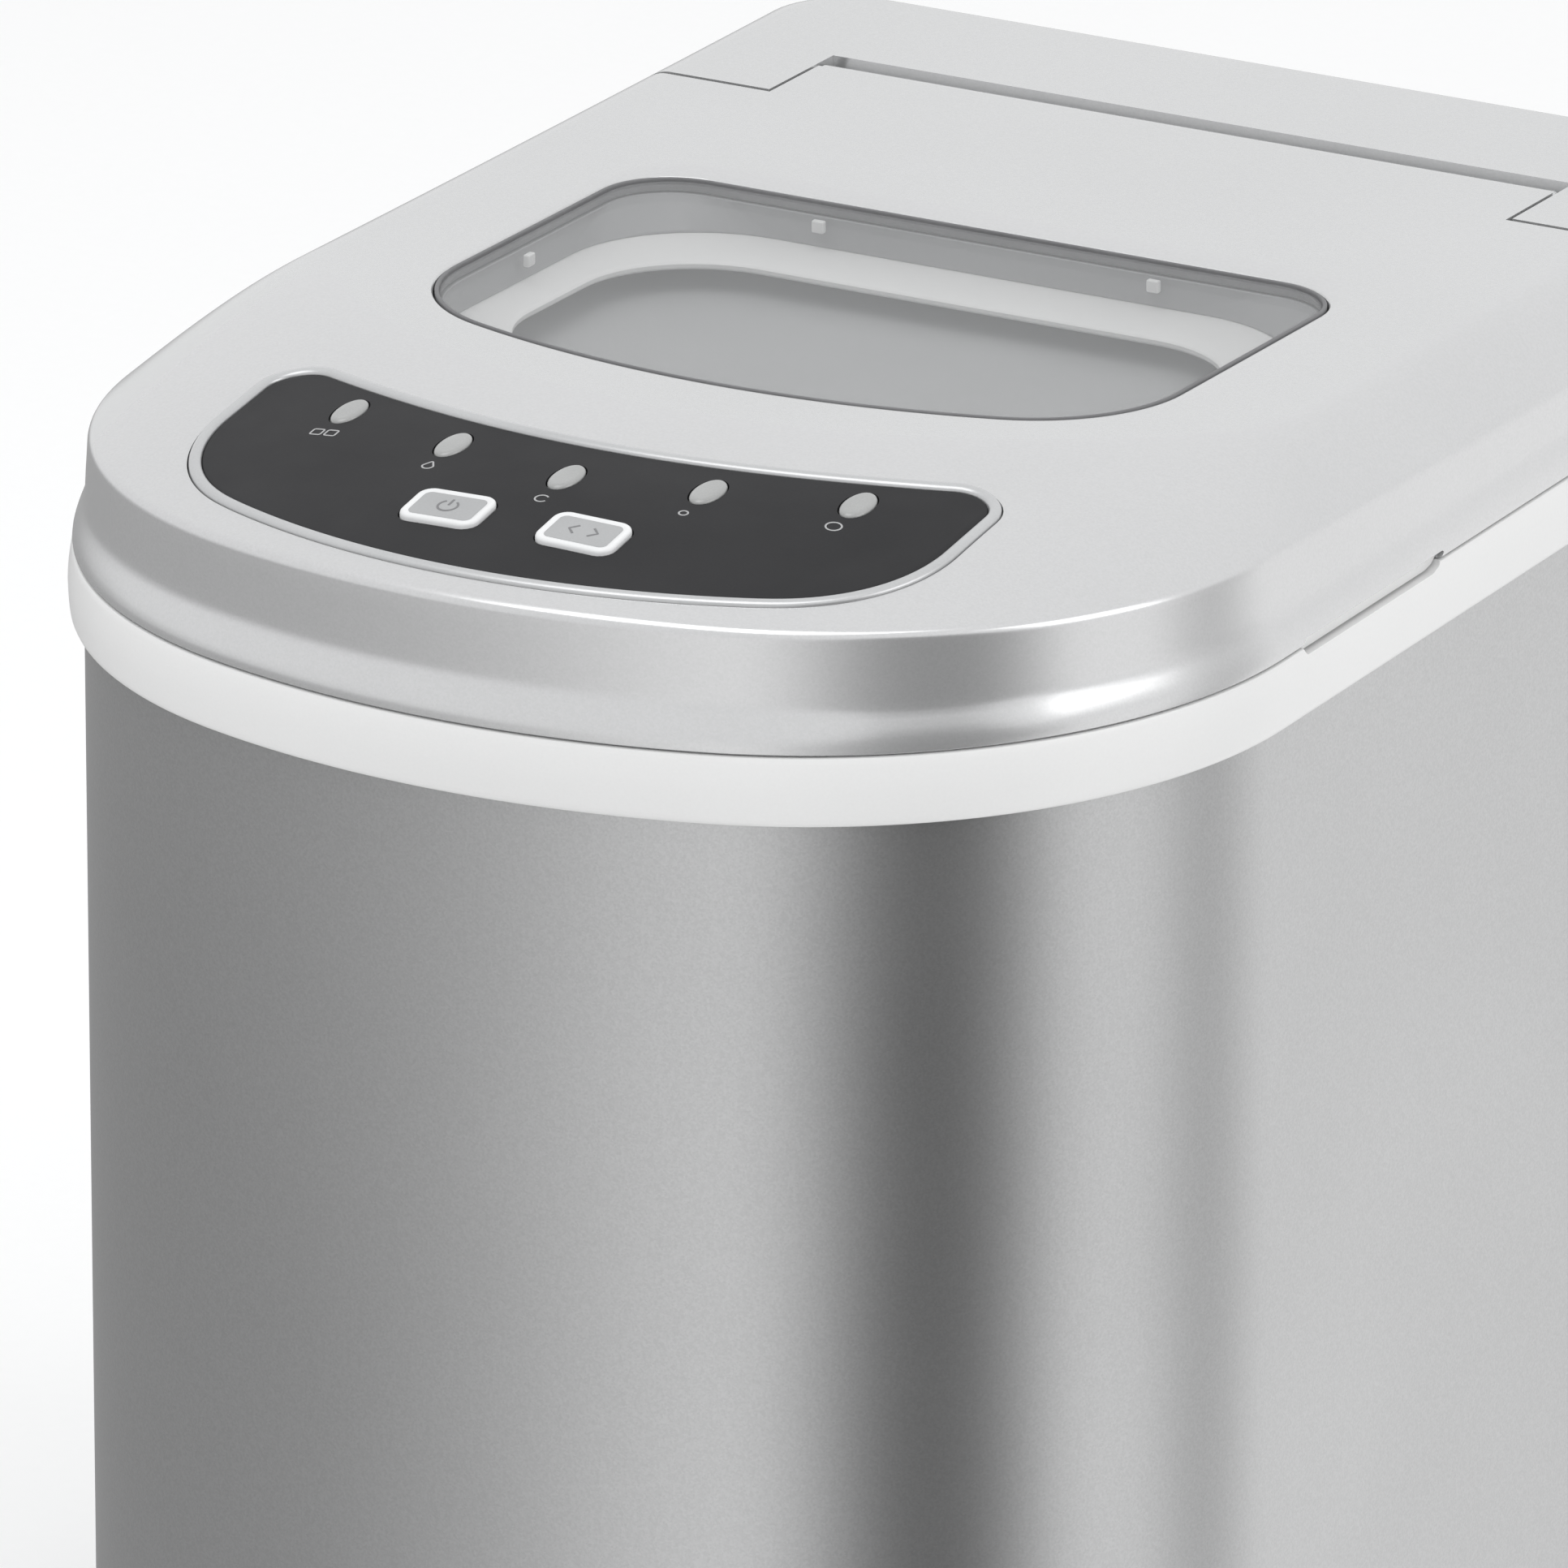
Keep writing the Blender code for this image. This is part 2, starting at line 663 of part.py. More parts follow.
# ---------------------------------------------------------------- lid and rear cover
def lid_region(name, grow):
    """Plan of the lid behind its front: straight at the ears, with a tongue between them."""
    far = BAND_HALF_WIDTH + 20 * MM
    tongue = TONGUE_HALF_WIDTH + grow
    ear = back(LID_BACK) + (HINGE_GAP if grow else 0.0)
    end = back(HINGE_DEPTH) + (HINGE_RADIUS + HINGE_GAP if grow else 0.0)
    front = back(0.0) - 20 * MM
    outline = ((-far, front), (far, front), (far, ear), (tongue, ear), (tongue, end), (-tongue, end),
               (-tongue, ear), (-far, ear))
    return plate(name, outline, BAND_BOTTOM - 20 * MM, BAND_BOTTOM + 3 * PLATEAU_RISE)


def build_lid_shell():
    """Silver lid top with its window and panel openings, finger notches and hinge barrel."""
    lid = top_shell("lid_shell")
    meet(lid, lid_region("lid_plan", 0.0))
    axis_y = back(HINGE_DEPTH)
    join(lid, rod("lid_barrel", (-TONGUE_HALF_WIDTH, axis_y, HINGE_HEIGHT),
                  (TONGUE_HALF_WIDTH, axis_y, HINGE_HEIGHT), HINGE_RADIUS, 20))
    opening = plate("window_hole", window_outline(GAP), DECK_TOP, DECK_TOP + 2 * PLATEAU_RISE)
    panel = plate("panel_hole", panel_outline(BEZEL_WIDTH + GAP), DECK_TOP, DECK_TOP + 2 * PLATEAU_RISE)
    bore_reach = PIN_LENGTH / 2 + 2 * GAP
    bores = [rod("lid_bore_" + word, (side * (TONGUE_HALF_WIDTH - bore_reach), axis_y, HINGE_HEIGHT),
                 (side * (TONGUE_HALF_WIDTH + GAP), axis_y, HINGE_HEIGHT), PIN_RADIUS + GAP / 2, 12)
             for side, word in ((-1, "left"), (1, "right"))]
    cut(lid, opening, panel, *bores, slot_cutter("lid_slot_left", -1), slot_cutter("lid_slot_right", 1))
    lid.data.shade_smooth()
    lid.data.set_sharp_from_angle(angle=math.radians(25))
    return finish(lid, "silver")


def build_rear_cover():
    """Fixed silver cover behind the lid, with an ear each side of the tongue."""
    cover = top_shell("rear_top_cover")
    cut(cover, lid_region("cover_cut", RUNNING))
    axis_y = back(HINGE_DEPTH)
    inner = TONGUE_HALF_WIDTH + RUNNING
    for side, word in ((-1, "left"), (1, "right")):
        cheek = box("ear_cheek_" + word,
                    (min(side * inner, side * (inner + 9 * MM)), back(LID_BACK) + HINGE_GAP + 1 * MM,
                     HINGE_HEIGHT - 7 * MM),
                    (max(side * inner, side * (inner + 9 * MM)), axis_y + 12 * MM,
                     HINGE_HEIGHT + HINGE_RADIUS - 1.5 * MM))
        join(cover, cheek)
    for side, word in ((-1, "left"), (1, "right")):
        cut(cover, rod("ear_bore_" + word, (side * (inner - 1 * MM), axis_y, HINGE_HEIGHT),
                       (side * (inner + PIN_LENGTH / 2 + 2 * GAP), axis_y, HINGE_HEIGHT),
                       PIN_RADIUS + GAP / 2, 12))
    cover.data.shade_smooth()
    cover.data.set_sharp_from_angle(angle=math.radians(25))
    return finish(cover, "silver")


def build_hinge_pins():
    """Two steel pins between the lid's barrel and the ears."""
    middle = TONGUE_HALF_WIDTH + RUNNING / 2
    for side, word in ((-1, "left"), (1, "right")):
        pin = rod("hinge_pin_" + word, (side * (middle - PIN_LENGTH / 2), back(HINGE_DEPTH), HINGE_HEIGHT),
                  (side * (middle + PIN_LENGTH / 2), back(HINGE_DEPTH), HINGE_HEIGHT), PIN_RADIUS, 12)
        finish(pin, "steel")


def build_window():
    """Clear pane and the seal round it."""
    seal = skin_piece("window_seal", window_outline(0.0), -SHELL, 0.25 * MM)
    cut(seal, plate("seal_hole", window_outline(-SEAL_WIDTH), DECK_TOP, DECK_TOP + 2 * PLATEAU_RISE))
    finish(seal, "black_rubber")
    pane = skin_piece("window_pane", window_outline(-SEAL_WIDTH - GAP), -PANE_THICK - 0.3 * MM, -0.3 * MM)
    finish(pane, "clear")


def build_lid_liner():
    """Light inner panel of the lid, with its own window opening."""
    outline = rounded_front(BAND_HALF_WIDTH - 22 * MM, 26 * MM, FRONT_RADIUS - 26 * MM,
                            CORNER_RADIUS - 26 * MM, LID_BACK - 14 * MM, 14 * MM, (2, 5, 6, 2, 1))
    liner = skin_piece("lid_inner_panel", outline, -SHELL - 8.5 * MM, -SHELL - 6.3 * MM)
    opening = rounded_front(LINER_HALF_WIDTH, LINER_FRONT, WINDOW_RADIUS, LINER_CORNER, LINER_BACK,
                            LINER_CORNER, (1, 4, 4, 5, 1))
    cut(liner, plate("liner_window", opening, DECK_TOP - 10 * MM, DECK_TOP + 2 * PLATEAU_RISE))
    frame = skin_piece("liner_frame", window_outline(-FRAME_INSET), -SHELL - 8.0 * MM, -SHELL - GAP)
    cut(frame, plate("liner_frame_hole", window_outline(-FRAME_INSET - FRAME_WALL), DECK_TOP - 10 * MM,
                     DECK_TOP + 2 * PLATEAU_RISE))
    join(liner, frame)
    return finish(liner, "pale_plastic")


def panel_frame(x, depth):
    """Point on the top surface and the surface's outward direction there."""
    y = back(depth)
    step = 2 * MM
    slope_y = (surface_height(x, y + step) - surface_height(x, y - step)) / (2 * step)
    return Vector((x, y, surface_height(x, y))), Vector((0.0, -slope_y, 1.0)).normalized()


def build_panel():
    """Bezel, overlay, buttons, indicator lenses and the board under them."""
    bezel = skin_piece("panel_bezel", panel_outline(BEZEL_WIDTH), -SHELL, BEZEL_PROUD)
    cut(bezel, plate("bezel_hole", panel_outline(0.0), DECK_TOP, DECK_TOP + 2 * PLATEAU_RISE))
    finish(bezel, "grey_plastic")
    overlay = skin_piece("panel_overlay", panel_outline(-GAP), -OVERLAY_THICK, 0.1 * MM)
    for word, side in (("left", -1), ("right", 1)):
        hole = rounded_rectangle(side * BUTTON_PITCH / 2, BUTTON_DEPTH, BUTTON_SIZE[0] + 2 * BUTTON_CLEAR,
                                 BUTTON_SIZE[1] + 2 * BUTTON_CLEAR, BUTTON_CORNER + BUTTON_CLEAR)
        cut(overlay, plate("button_hole_" + word, hole, DECK_TOP, DECK_TOP + 2 * PLATEAU_RISE))
    for (x, depth), name in zip(LED_PLACES, LED_NAMES):
        hole = oval(x * MM, depth * MM, LED_HALF[0] + GAP, LED_HALF[1] + GAP)
        cut(overlay, plate("lens_hole_" + name, hole, DECK_TOP, DECK_TOP + 2 * PLATEAU_RISE))
        lens = skin_piece("led_lens_" + name, oval(x * MM, depth * MM, *LED_HALF), -OVERLAY_THICK, 0.4 * MM)
        finish(lens, "lens")
    finish(overlay, "dark_plastic")
    for name, side in (("button_power", -1), ("button_select", 1)):
        shape = rounded_rectangle(side * BUTTON_PITCH / 2, BUTTON_DEPTH, *BUTTON_SIZE, BUTTON_CORNER)
        button = skin_piece(name, shape, -OVERLAY_THICK - 1.0 * MM, BUTTON_PROUD)
        finish(button, "grey_plastic")
        button = solid_of(button)
        origin_at(button, panel_frame(side * BUTTON_PITCH / 2, BUTTON_DEPTH)[0])
    board = skin_piece("display_board", panel_outline(-3.0 * MM), -BOARD_DROP - BOARD_THICK, -BOARD_DROP)
    finish(board, "board")


# ---------------------------------------------------------------- collar, body and base
def build_collar():
    """Light collar band: a rounded outer wall and a deck with openings for the tank and the tubes."""
    band = plate("collar_band", body_outline(0.0), BAND_BOTTOM, DECK_TOP)
    edge = band.modifiers.new("edge", "BEVEL")
    edge.width = 1.6 * MM
    edge.segments = 2
    edge.limit_method = "ANGLE"
    edge.angle_limit = math.radians(60)
    hollow = plate("band_hollow", body_outline(BODY_INSET + SHEET + 2.5 * MM), BAND_BOTTOM - 5 * MM,
                   DECK_TOP - 3 * MM)
    rebate = plate("band_rebate", body_outline(BODY_INSET - GAP), BAND_BOTTOM - 5 * MM,
                   BAND_BOTTOM + BODY_TUCK + GAP)
    mouth = plate("band_mouth", tank_outline(-GAP), BAND_BOTTOM - 10 * MM, DECK_TOP + 10 * MM)
    tubes = plate("band_tube_hole", rounded_rectangle(TUBE_X - 7 * MM, TUBE_DEPTH, 28 * MM, 14 * MM, 5 * MM),
                  BAND_BOTTOM - 10 * MM, DECK_TOP + 10 * MM)
    cut(band, hollow, rebate, mouth, tubes, slot_cutter("band_slot_left", -1),
        slot_cutter("band_slot_right", 1))
    return finish(band, "pale_plastic")


def tank_outline(inset):
    """Outline of the tank's outer wall, moved in by an inset."""
    return rounded_front(BAND_HALF_WIDTH - TANK_INSET - inset, TANK_FRONT + inset,
                         FRONT_RADIUS - TANK_FRONT - inset, CORNER_RADIUS - TANK_INSET - inset,
                         TANK_BACK - inset, 10 * MM - inset, (2, 6, 6, 2, 1))


def build_body():
    """Painted steel wrap, open at the back, with side vents."""
    low = FOOT_HEIGHT + BASE_WALL + GAP
    high = BAND_BOTTOM + BODY_TUCK
    wrap = plate("body_wrap", body_outline(BODY_INSET), low, high)
    inner = plate("wrap_inner", body_outline(BODY_INSET + SHEET), low - 5 * MM, high + 5 * MM)
    rear = box("wrap_rear", (-BAND_HALF_WIDTH * 2, back(DEPTH - BODY_INSET - REAR_RADIUS), low - 5 * MM),
               (BAND_HALF_WIDTH * 2, back(DEPTH + 5 * MM), high + 5 * MM))
    cut(wrap, inner, rear)
    for word, side in (("left", -1), ("right", 1)):
        edge_x = side * (BAND_HALF_WIDTH - BODY_INSET)
        for number in range(VENT_COUNT):
            middle_z = VENT_HEIGHT + number * VENT_PITCH
            cut(wrap, box("vent_%s_%d" % (word, number),
                          (edge_x - 4 * MM, back(VENT_DEPTH) - VENT_SLOT[0] / 2, middle_z - VENT_SLOT[1] / 2),
                          (edge_x + 4 * MM, back(VENT_DEPTH) + VENT_SLOT[0] / 2, middle_z + VENT_SLOT[1] / 2)))
    drain = rod("wrap_drain_hole", (-BAND_HALF_WIDTH - 5 * MM, back(DRAIN_DEPTH), DRAIN_HEIGHT),
                (-BAND_HALF_WIDTH + 20 * MM, back(DRAIN_DEPTH), DRAIN_HEIGHT), DRAIN_RADIUS + GAP, 20)
    cut(wrap, drain)
    soften(wrap, 25)
    return finish(wrap, "body_silver")


DRAIN_DEPTH = 196.0 * MM
DRAIN_HEIGHT = 74.0 * MM
DRAIN_RADIUS = 9.0 * MM
DRAIN_BORE = 5.0 * MM


def build_base():
    """Base tray, with a low wall inside the wrap, and four screwed feet."""
    low = FOOT_HEIGHT
    tray = plate("base_tray", body_outline(BODY_INSET), low, low + BASE_WALL)
    inset = BODY_INSET + BACK_PANEL_THICK + GAP
    wall = plate("base_wall", body_outline(inset), low + BASE_WALL / 2, low + BASE_RISE)
    wall_hollow = plate("base_hollow", body_outline(inset + BASE_WALL), low + BASE_WALL,
                        low + BASE_RISE + 5 * MM)
    join(tray, wall)
    cut(tray, wall_hollow)
    places = {}
    for row, depth in (("front", FOOT_INSET + 18 * MM), ("rear", DEPTH - FOOT_INSET)):
        for word, side in (("left", -1), ("right", 1)):
            places["foot_%s_%s" % (row, word)] = (side * (BAND_HALF_WIDTH - FOOT_INSET), back(depth))
    for name, (x, y) in places.items():
        cut(tray, rod(name + "_hole", (x, y, low - 5 * MM), (x, y, low + BASE_WALL + 5 * MM), 3.5 * MM, 12))
        foot = turned(name, ((0.0, low + BASE_WALL + 3.0 * MM), (3.2 * MM, low + BASE_WALL + 2.5 * MM),
                             (3.2 * MM, low - GAP), (FOOT_RADIUS, low - GAP),
                             (FOOT_RADIUS - 1.5 * MM, 0.8 * MM), (FOOT_RADIUS - 2.3 * MM, 0.0), (0.0, 0.0)),
                      20)
        foot.location = (x, y, 0.0)
        finish(foot, "black_rubber")
    return finish(tray, "grey_plastic")


GRILLE_HALF = 48.0 * MM


def build_rear():
    """Rear panel round the wrap's ends, fan guard, screws and cord gland."""
    panel_low = FOOT_HEIGHT + BASE_WALL + GAP
    panel_high = BAND_BOTTOM + BODY_TUCK
    panel = plate("rear_panel", body_outline(BODY_INSET), panel_low, panel_high)
    inner = plate("rear_panel_inner", body_outline(BODY_INSET + BACK_PANEL_THICK), panel_low - 5 * MM,
                  panel_high + 5 * MM)
    front = box("rear_panel_front", (-BAND_HALF_WIDTH * 2, back(-20 * MM), panel_low - 5 * MM),
                (BAND_HALF_WIDTH * 2, back(DEPTH - BODY_INSET - REAR_RADIUS) + GAP, panel_high + 5 * MM))
    cut(panel, inner, front)
    fan_x = CONDENSER_PLACE[0]
    window = box("rear_panel_window", (fan_x - GRILLE_HALF, back(DEPTH - 20 * MM), FAN_HEIGHT - GRILLE_HALF),
                 (fan_x + GRILLE_HALF, back(DEPTH + 5 * MM), FAN_HEIGHT + GRILLE_HALF))
    gland_hole = rod("rear_gland_hole", (GLAND_PLACE[0], back(DEPTH - 20 * MM), GLAND_PLACE[1]),
                     (GLAND_PLACE[0], back(DEPTH + 5 * MM), GLAND_PLACE[1]), 6.0 * MM + GAP, 16)
    cut(panel, window, gland_hole)
    outer_y = back(DEPTH - BODY_INSET)
    screw_x = BAND_HALF_WIDTH - BODY_INSET - REAR_RADIUS - 2 * MM
    for number, (side, height) in enumerate(((-1, 30 * MM), (1, 30 * MM), (-1, 250 * MM), (1, 250 * MM)), 1):
        x = side * screw_x
        cut(panel, rod("screw_hole_%d" % number, (x, outer_y - 10 * MM, height), (x, outer_y + 5 * MM, height),
                       1.9 * MM, 10))
        screw = rod("rear_screw_%d" % number, (x, outer_y - 9 * MM, height), (x, outer_y + 1 * MM, height),
                    1.5 * MM, 10)
        head = rod("screw_head_%d" % number, (x, outer_y + GAP, height), (x, outer_y + 2.2 * MM, height),
                   3.6 * MM, 16, 2.6 * MM)
        join(screw, head)
        finish(screw, "steel")
    finish(panel, "grey_plastic")
    guard = box("fan_guard", (fan_x - GRILLE_HALF + GAP, outer_y - 3.0 * MM, FAN_HEIGHT - GRILLE_HALF + GAP),
                (fan_x + GRILLE_HALF - GAP, outer_y - 0.4 * MM, FAN_HEIGHT + GRILLE_HALF - GAP))
    slots = 10
    for number in range(slots):
        height = FAN_HEIGHT + (number - (slots - 1) / 2) * 8.6 * MM
        cut(guard, box("guard_slot_%d" % number, (fan_x - 42 * MM, outer_y - 10 * MM, height - 1.8 * MM),
                       (fan_x + 42 * MM, outer_y + 5 * MM, height + 1.8 * MM)))
    finish(guard, "grey_plastic")
    gland = rod("cord_gland", (GLAND_PLACE[0], outer_y - 8 * MM, GLAND_PLACE[1]),
                (GLAND_PLACE[0], outer_y + 2 * GAP, GLAND_PLACE[1]), 6.0 * MM, 16)
    join(gland, rod("gland_flange", (GLAND_PLACE[0], outer_y + GAP, GLAND_PLACE[1]),
                    (GLAND_PLACE[0], outer_y + 2.5 * MM, GLAND_PLACE[1]), 8.5 * MM, 20, 7.0 * MM))
    cut(gland, rod("gland_bore", (GLAND_PLACE[0], outer_y - 12 * MM, GLAND_PLACE[1]),
                   (GLAND_PLACE[0], outer_y + 6 * MM, GLAND_PLACE[1]), 3.4 * MM, 12))
    finish(gland, "black_rubber")


GLAND_PLACE = (72.0 * MM, 42.0 * MM)
TUBE_X = 48.0 * MM
TUBE_DEPTH = 242.0 * MM
DRIER_X = 6.0 * MM


# ---------------------------------------------------------------- tank, basket and scoop
def build_tank():
    """Water tank liner with a lip that rests on the collar, a drain spout and its cap."""
    liner = plate("tank_liner", tank_outline(0.0), TANK_FLOOR, DECK_TOP + 1 * MM)
    join(liner, plate("tank_lip", tank_outline(-TANK_LIP), DECK_TOP + GAP, DECK_TOP + GAP + 2 * MM))
    hollow = plate("tank_hollow", tank_outline(TANK_WALL), TANK_FLOOR + TANK_WALL, DECK_TOP + 20 * MM)
    cut(liner, hollow)
    wall_x = -(BAND_HALF_WIDTH - TANK_INSET)
    drain_y = back(DRAIN_DEPTH)
    cut(liner, rod("tank_drain_hole", (wall_x - 5 * MM, drain_y, DRAIN_HEIGHT),
                   (wall_x + 8 * MM, drain_y, DRAIN_HEIGHT), DRAIN_RADIUS - 2 * MM + GAP, 20))
    finish(liner, "pale_plastic")
    outer_x = -(BAND_HALF_WIDTH - BODY_INSET)
    spout = rod("drain_spout", (wall_x + 3 * MM, drain_y, DRAIN_HEIGHT),
                (outer_x + 4 * MM, drain_y, DRAIN_HEIGHT), DRAIN_RADIUS - 2 * MM, 20)
    join(spout, rod("spout_collar", (wall_x - GAP, drain_y, DRAIN_HEIGHT),
                    (outer_x - 1.0 * MM, drain_y, DRAIN_HEIGHT), DRAIN_RADIUS, 20))
    cut(spout, rod("spout_bore", (wall_x + 10 * MM, drain_y, DRAIN_HEIGHT),
                   (outer_x - 6 * MM, drain_y, DRAIN_HEIGHT), DRAIN_BORE, 16))
    finish(spout, "pale_plastic")
    cap_in = outer_x - 1.0 * MM - GAP
    cap = rod("drain_cap", (cap_in + 9 * MM, drain_y, DRAIN_HEIGHT), (cap_in - 1 * MM, drain_y, DRAIN_HEIGHT),
              DRAIN_BORE - GAP, 16)
    knob = rod("cap_knob", (cap_in, drain_y, DRAIN_HEIGHT), (cap_in - 1.6 * MM, drain_y, DRAIN_HEIGHT),
               DRAIN_RADIUS + 1 * MM, 20, DRAIN_RADIUS)
    join(cap, knob)
    cap = finish(solid_of(cap), "black_rubber")
    origin_at(cap, (cap_in, drain_y, DRAIN_HEIGHT))
    build_basket_ledges()


def build_basket_ledges():
    """Rack on the tank walls that carries the basket."""
    low = BASKET_LOW - GAP - BASKET_LEDGE
    outline = tank_outline(TANK_WALL + GAP)
    rack = plate("basket_rack", outline, low, BASKET_LOW - GAP)
    hole = plate("rack_hole", basket_outline(6 * MM), low - 5 * MM, BASKET_LOW + 5 * MM)
    rear = box("rack_rear", (-BAND_HALF_WIDTH, back(BASKET_BACK + 4 * MM), low - 5 * MM),
               (BAND_HALF_WIDTH, back(DEPTH), BASKET_LOW + 5 * MM))
    cut(rack, hole, rear)
    finish(rack, "pale_plastic")


def basket_outline(inset):
    """Outline of the basket's outer wall, moved in by an inset."""
    return rounded_front(BASKET_HALF - inset, BASKET_FRONT + inset, BASKET_BOW - inset,
                         BASKET_CORNER - inset, BASKET_BACK - inset, 10 * MM - inset, (2, 5, 4, 2, 1))


def build_basket():
    """Slotted ice basket and the scoop that lies in it."""
    middle = (BASKET_FRONT + BASKET_BACK) / 2
    basket = plate("ice_basket", basket_outline(0.0), BASKET_LOW, BASKET_HIGH)
    inside = plate("basket_inside", basket_outline(BASKET_WALL), BASKET_LOW + BASKET_WALL,
                   BASKET_HIGH + 5 * MM)
    cut(basket, inside)
    columns = 5
    for number in range(columns):
        x = (number - (columns - 1) / 2) * 26 * MM
        cut(basket, box("basket_slot_%d" % number, (x - 5 * MM, back(BASKET_FRONT - 5 * MM), BASKET_LOW + 14 * MM),
                        (x + 5 * MM, back(BASKET_BACK + 5 * MM), BASKET_LOW + 44 * MM)))
    cut(basket, box("basket_dip", (-34 * MM, back(BASKET_BACK - 8 * MM), BASKET_HIGH - 16 * MM),
                    (34 * MM, back(BASKET_BACK + 5 * MM), BASKET_HIGH + 5 * MM)))
    floor_rows = 3
    for row in range(floor_rows):
        for number in range(columns):
            x = (number - (columns - 1) / 2) * 26 * MM
            y = back(middle) + (row - 1) * 22 * MM
            cut(basket, box("floor_slot_%d_%d" % (row, number), (x - 7 * MM, y - 3 * MM, BASKET_LOW - 5 * MM),
                            (x + 7 * MM, y + 3 * MM, BASKET_LOW + 5 * MM)))
    finish(basket, "clear")
    build_scoop()


def build_scoop():
    """Small scoop lying in the basket's right half: an open trough and a flat handle."""
    floor = BASKET_LOW + BASKET_WALL + GAP
    middle_x = BASKET_HALF - BASKET_WALL - 9 * MM - SCOOP_WIDTH / 2
    front = BASKET_BACK - BASKET_WALL - 6 * MM - SCOOP_LENGTH
    scoop = plate("ice_scoop", rounded_rectangle(middle_x, front + SCOOP_LENGTH / 2, SCOOP_WIDTH, SCOOP_LENGTH,
                                                 6 * MM), floor, floor + SCOOP_HEIGHT)
    inside = plate("scoop_inside", rounded_rectangle(middle_x, front + SCOOP_LENGTH / 2 - 10 * MM,
                                                     SCOOP_WIDTH - 2 * SCOOP_WALL,
                                                     SCOOP_LENGTH + 20 * MM - 2 * SCOOP_WALL, 4 * MM),
                   floor + SCOOP_WALL, floor + SCOOP_HEIGHT + 5 * MM)
    cut(scoop, inside)
    rise = box("scoop_neck", (middle_x - 7 * MM, back(front + SCOOP_LENGTH) - 3 * MM, floor + SCOOP_HEIGHT - 8 * MM),
               (middle_x + 7 * MM, back(front + SCOOP_LENGTH) + 3 * MM, floor + SCOOP_HEIGHT + 24 * MM))
    join(scoop, rise)
    finish(solid_of(scoop), "clear")


# ---------------------------------------------------------------- ice making
def arc_strip(name, inner, outer, start_angle, end_angle, half_length, steps=10):
    """A strip of a tube about the X axis, between two angles in degrees, at the ice axis."""
    bm = bmesh.new()
    rings = []
    for x in (-half_length, half_length):
        ring = []
        for radius, first, last in ((outer, start_angle, end_angle), (inner, end_angle, start_angle)):
            for step in range(steps + 1):
                angle = math.radians(first + (last - first) * step / steps)
                ring.append(bm.verts.new((x, radius * math.cos(angle), radius * math.sin(angle))))
        rings.append(ring)
    for k in range(len(rings[0])):
        following = (k + 1) % len(rings[0])
        bm.faces.new((rings[0][k], rings[0][following], rings[1][following], rings[1][k]))
    for ring in rings:
        bm.faces.new(ring)
    piece = mesh_object(name, bm)
    piece.location = (0.0, back(AXIS_DEPTH), AXIS_HEIGHT)
    return piece


def arm(name, x_low, x_high, angle, reach, half_width):
    """A flat arm from the ice axis outwards at an angle, with a round hub."""
    bm = bmesh.new()
    bmesh.ops.create_cube(bm, size=1.0)
    bmesh.ops.scale(bm, vec=(x_high - x_low, reach, 2 * half_width), verts=bm.verts)
    bmesh.ops.translate(bm, vec=((x_low + x_high) / 2, reach / 2, 0.0), verts=bm.verts)
    bm.transform(Matrix.Rotation(math.radians(angle), 4, "X"))
    piece = mesh_object(name, bm)
    piece.location = (0.0, back(AXIS_DEPTH), AXIS_HEIGHT)
    return piece


PIVOT_RADIUS = 3.0 * MM
HUB_RADIUS = 6.0 * MM
END_WALL = 2.0 * MM
CHEEK_IN = TRAY_HALF + 9.0 * MM


def build_water_tray():
    """Tilting water tray: a trough about the ice axis, closed at both ends, with a pivot each side."""
    outer = TRAY_INNER + TRAY_WALL
    first, last = -90 - TRAY_SPAN, -90 + TRAY_SPAN
    tray = arc_strip("water_tray", TRAY_INNER, outer, first, last, TRAY_HALF)
    where = Vector((0.0, back(AXIS_DEPTH), AXIS_HEIGHT))
    for word, side in (("left", -1), ("right", 1)):
        low, high = sorted((side * (TRAY_HALF - END_WALL), side * TRAY_HALF))
        wall = arc_strip("tray_end_" + word, 0.4 * HUB_RADIUS, outer - 0.2 * MM, first, last, END_WALL / 2)
        wall.location.x = (low + high) / 2
        hub = rod("tray_hub_" + word, where + Vector((low, 0, 0)), where + Vector((high, 0, 0)), HUB_RADIUS, 16)
        pivot = rod("tray_pivot_" + word, where + Vector((side * (TRAY_HALF - END_WALL / 2), 0, 0)),
                    where + Vector((side * (CHEEK_IN + 2 * MM), 0, 0)), PIVOT_RADIUS, 12)
        join(tray, wall, hub, pivot)
    return finish(tray, "grey_plastic")


def build_pusher():
    """Ice pusher: a blade that swings under the tray on two outer arms."""
    blade = arc_strip("ice_pusher", PUSHER_INNER, PUSHER_OUTER, PUSHER_ANGLE - 3.0, PUSHER_ANGLE + 3.0,
                      TRAY_HALF + 5 * MM, 2)
    where = Vector((0.0, back(AXIS_DEPTH), AXIS_HEIGHT))
    for word, side in (("left", -1), ("right", 1)):
        low, high = sorted((side * (TRAY_HALF + 2.5 * MM), side * (TRAY_HALF + 5.0 * MM)))
        join(blade, arm("pusher_arm_" + word, low, high, PUSHER_ANGLE, PUSHER_OUTER - 1 * MM, 3.0 * MM))
        join(blade, rod("pusher_hub_" + word, where + Vector((low, 0, 0)), where + Vector((high, 0, 0)),
                        HUB_RADIUS + 1 * MM, 16))
    for word, side in (("left", -1), ("right", 1)):
        low, high = sorted((side * TRAY_HALF, side * (TRAY_HALF + 8 * MM)))
        cut(blade, rod("pusher_bore_" + word, where + Vector((low, 0, 0)), where + Vector((high, 0, 0)),
                       PIVOT_RADIUS + GAP, 16))
    return finish(blade, "pale_plastic")


